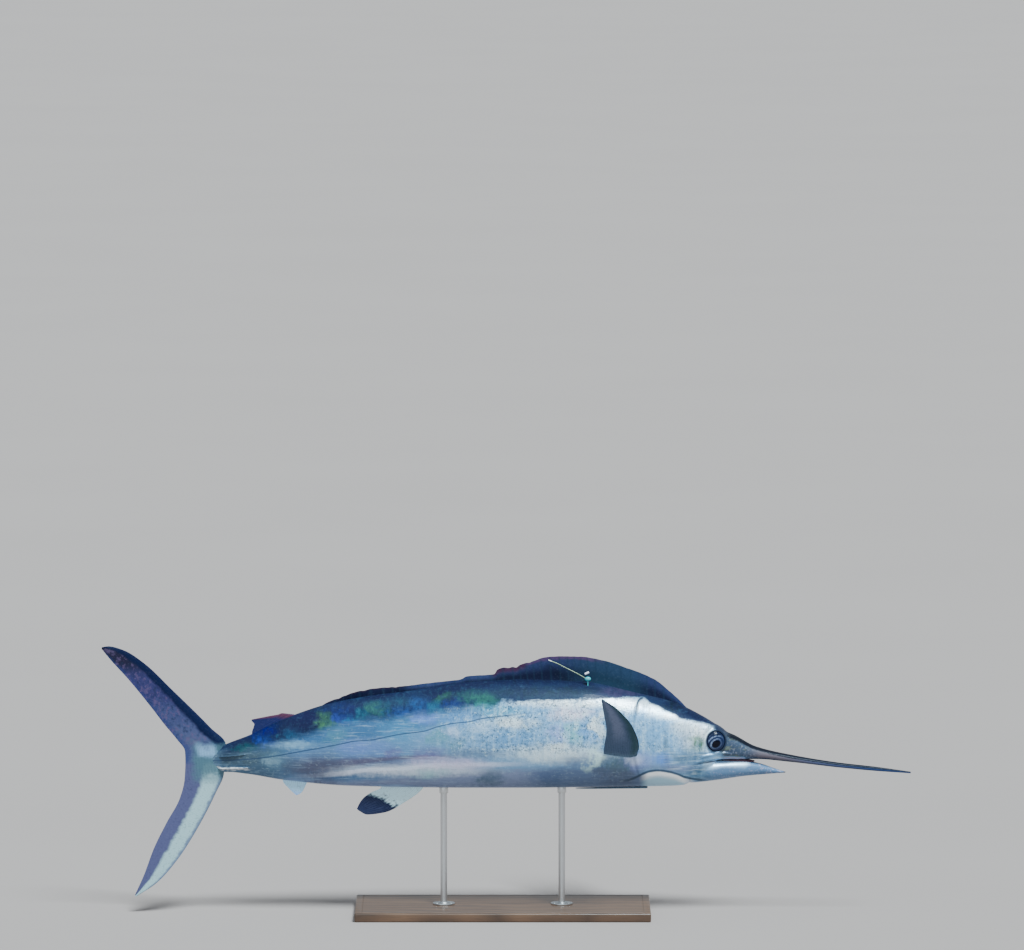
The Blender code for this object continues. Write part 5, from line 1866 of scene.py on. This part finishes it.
# %% Flanges and rods
def add_flange(x):
    """A low turned disc with a raised collar round the rod and three screws."""
    disc_floor, disc_top = Vector((x, 0, FLANGE_FLOOR)), Vector((x, 0, FLANGE_FLOOR + DISC_HEIGHT))
    disc = add_rod("flange", disc_floor, disc_top, 0.03, 64)
    inset_top(disc, ((0.015, 0.0), (0.002, FLANGE_HEIGHT - DISC_HEIGHT)))
    round_edges(disc, 0.0007, 2, 30.0)
    for turn in (90.0, 210.0, 330.0):
        across, along = math.cos(math.radians(turn)), math.sin(math.radians(turn))
        low = Vector((x + SCREW_CIRCLE * across, SCREW_CIRCLE * along, FLANGE_FLOOR + 0.003))
        high = Vector((x + SCREW_CIRCLE * across, SCREW_CIRCLE * along, FLANGE_FLOOR + 0.0052))
        screw = round_edges(add_rod("screw", low, high, 0.0036, 20), 0.0009, 2, 40.0)
        let_go()
        bpy.ops.mesh.primitive_cube_add(size=1.0, location=high, scale=(0.008, 0.0009, 0.0016),
                                        rotation=(0, 0, math.radians(turn * 1.7)))
        combine(screw, call_it("slot"), "DIFFERENCE")
        combine(disc, screw, "UNION")
    return shade(disc, 35.0)


def add_stand_rod(x):
    """A rod with a chamfered foot and a short sleeve under the belly."""
    belly = BELLY + float(body_at(x)[0][1])
    foot, head = Vector((x, 0, FLANGE_FLOOR + FLANGE_HEIGHT - 0.001)), Vector((x, 0, belly + 0.004))
    rod = add_rod("rod", foot, head, ROD_RADIUS, 48)
    sleeve = add_rod("sleeve", Vector((x, 0, belly - 0.014)), Vector((x, 0, belly + 0.003)), 0.0122, 48)
    combine(rod, round_edges(sleeve, 0.0012, 3), "UNION")
    return shade(rod, 35.0)


flanges = {place: add_flange(x) for place, x in ROD_PLACES.items()}
rods = {place: add_stand_rod(x) for place, x in ROD_PLACES.items()}
for place in ROD_PLACES:
    flanges[place].name = "stand_turned_flange_" + place
    rods[place].name = "stand_steel_rod_" + place

print("rods and flanges:", len(rods) + len(flanges))

# %% [markdown]
# The base is dark oiled wood: growth rings seen along the board are bands bent by a slow noise, and its
# pores are long thin specks. The steel is brushed, so its noise is drawn out along the rod.

# %% Finishes of the stand and the floor
def make_wood_finish():
    finish = Finish("stand_wood", {"Coat Weight": 0.3, "Coat Roughness": 0.18, "IOR": 1.5})
    rise, mix = finish.rise, finish.mix
    bend = finish.cloud((1.6, 3.0, 3.0), 3.0, 0.5)
    rings = finish.node("Math", {"operation": "PINGPONG"}, {0: (finish.y + bend * 0.22) * 55.0, 1: 1.0})
    grain = Amount(finish, rings.outputs[0])
    pores = finish.cloud((18.0, 700.0, 700.0), 2.0, 0.5)
    colour = mix(grain, (0.05, 0.024, 0.012), (0.12, 0.06, 0.03))
    colour = mix(rise(pores, 0.56, 0.7) * 0.65, colour, (0.02, 0.01, 0.006))
    colour = mix(rise(finish.cloud((4.0, 9.0, 9.0), 3.0), 0.45, 0.65) * 0.3, colour, (0.16, 0.085, 0.045))
    finish.wear(Base_Color=colour, Roughness=0.3 + 0.25 * pores)
    finish.relief(pores, 0.0002)
    return finish.material


def make_steel_finish():
    finish = Finish("stand_steel", {"Metallic": 1.0})
    brushed = finish.cloud((900.0, 900.0, 30.0), 2.0, 0.5)
    smudge = finish.cloud((30.0, 30.0, 14.0), 3.0, 0.6)
    colour = finish.mix(brushed, (0.5, 0.505, 0.515), (0.68, 0.685, 0.69))
    finish.wear(Base_Color=colour, Roughness=0.22 + 0.14 * brushed + 0.1 * smudge)
    finish.relief(brushed, 0.00006)
    return finish.material


def make_floor_finish():
    finish = Finish("pale_floor", {"Roughness": 0.75})
    cloud = finish.cloud((0.8, 0.8, 0.8), 2.0, 0.5)
    finish.wear(Base_Color=finish.mix(cloud, (0.33, 0.283, 0.266), (0.35, 0.301, 0.283)))
    return finish.material


dress(base, make_wood_finish())
steel = make_steel_finish()
for piece in (*flanges.values(), *rods.values()):
    dress(piece, steel)
dress(floor, make_floor_finish())
print("stand pieces:", base.name, [piece.name for piece in (*flanges.values(), *rods.values())])

# %% [markdown]
# ## Handing over
#
# Each piece is attached to what it moves with, and the measured parts that it stands for are hidden. All
# move with the one still body.

# %% Hand the pieces over
FLESH = [name for name in frame["nodes"] if not name.startswith(("stand_", "tag_", "eye_"))]
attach(skin, "root")
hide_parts(*FLESH)
HANDED = {
    eye_right: ("eye_right", "eye"), eye_left: ("eye_left", "eye"),
    bead: ("tag_bead", "tag_bead"), collar: ("tag_collar", "tag_collar"),
    streamer: ("tag_streamer", "tag_streamer"), base: ("stand_base", "stand_wood"),
}
for place in ROD_PLACES:
    HANDED[flanges[place]] = ("stand_flange_" + place, "stand_steel")
    HANDED[rods[place]] = ("stand_rod_" + place, "stand_steel")
for piece, (node_name, slot_name) in HANDED.items():
    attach(piece, "root")
    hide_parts(node_name)
for piece in (skin, *HANDED):
    print(piece.name, "has", count_triangles(piece), "triangles")

# %% [markdown]
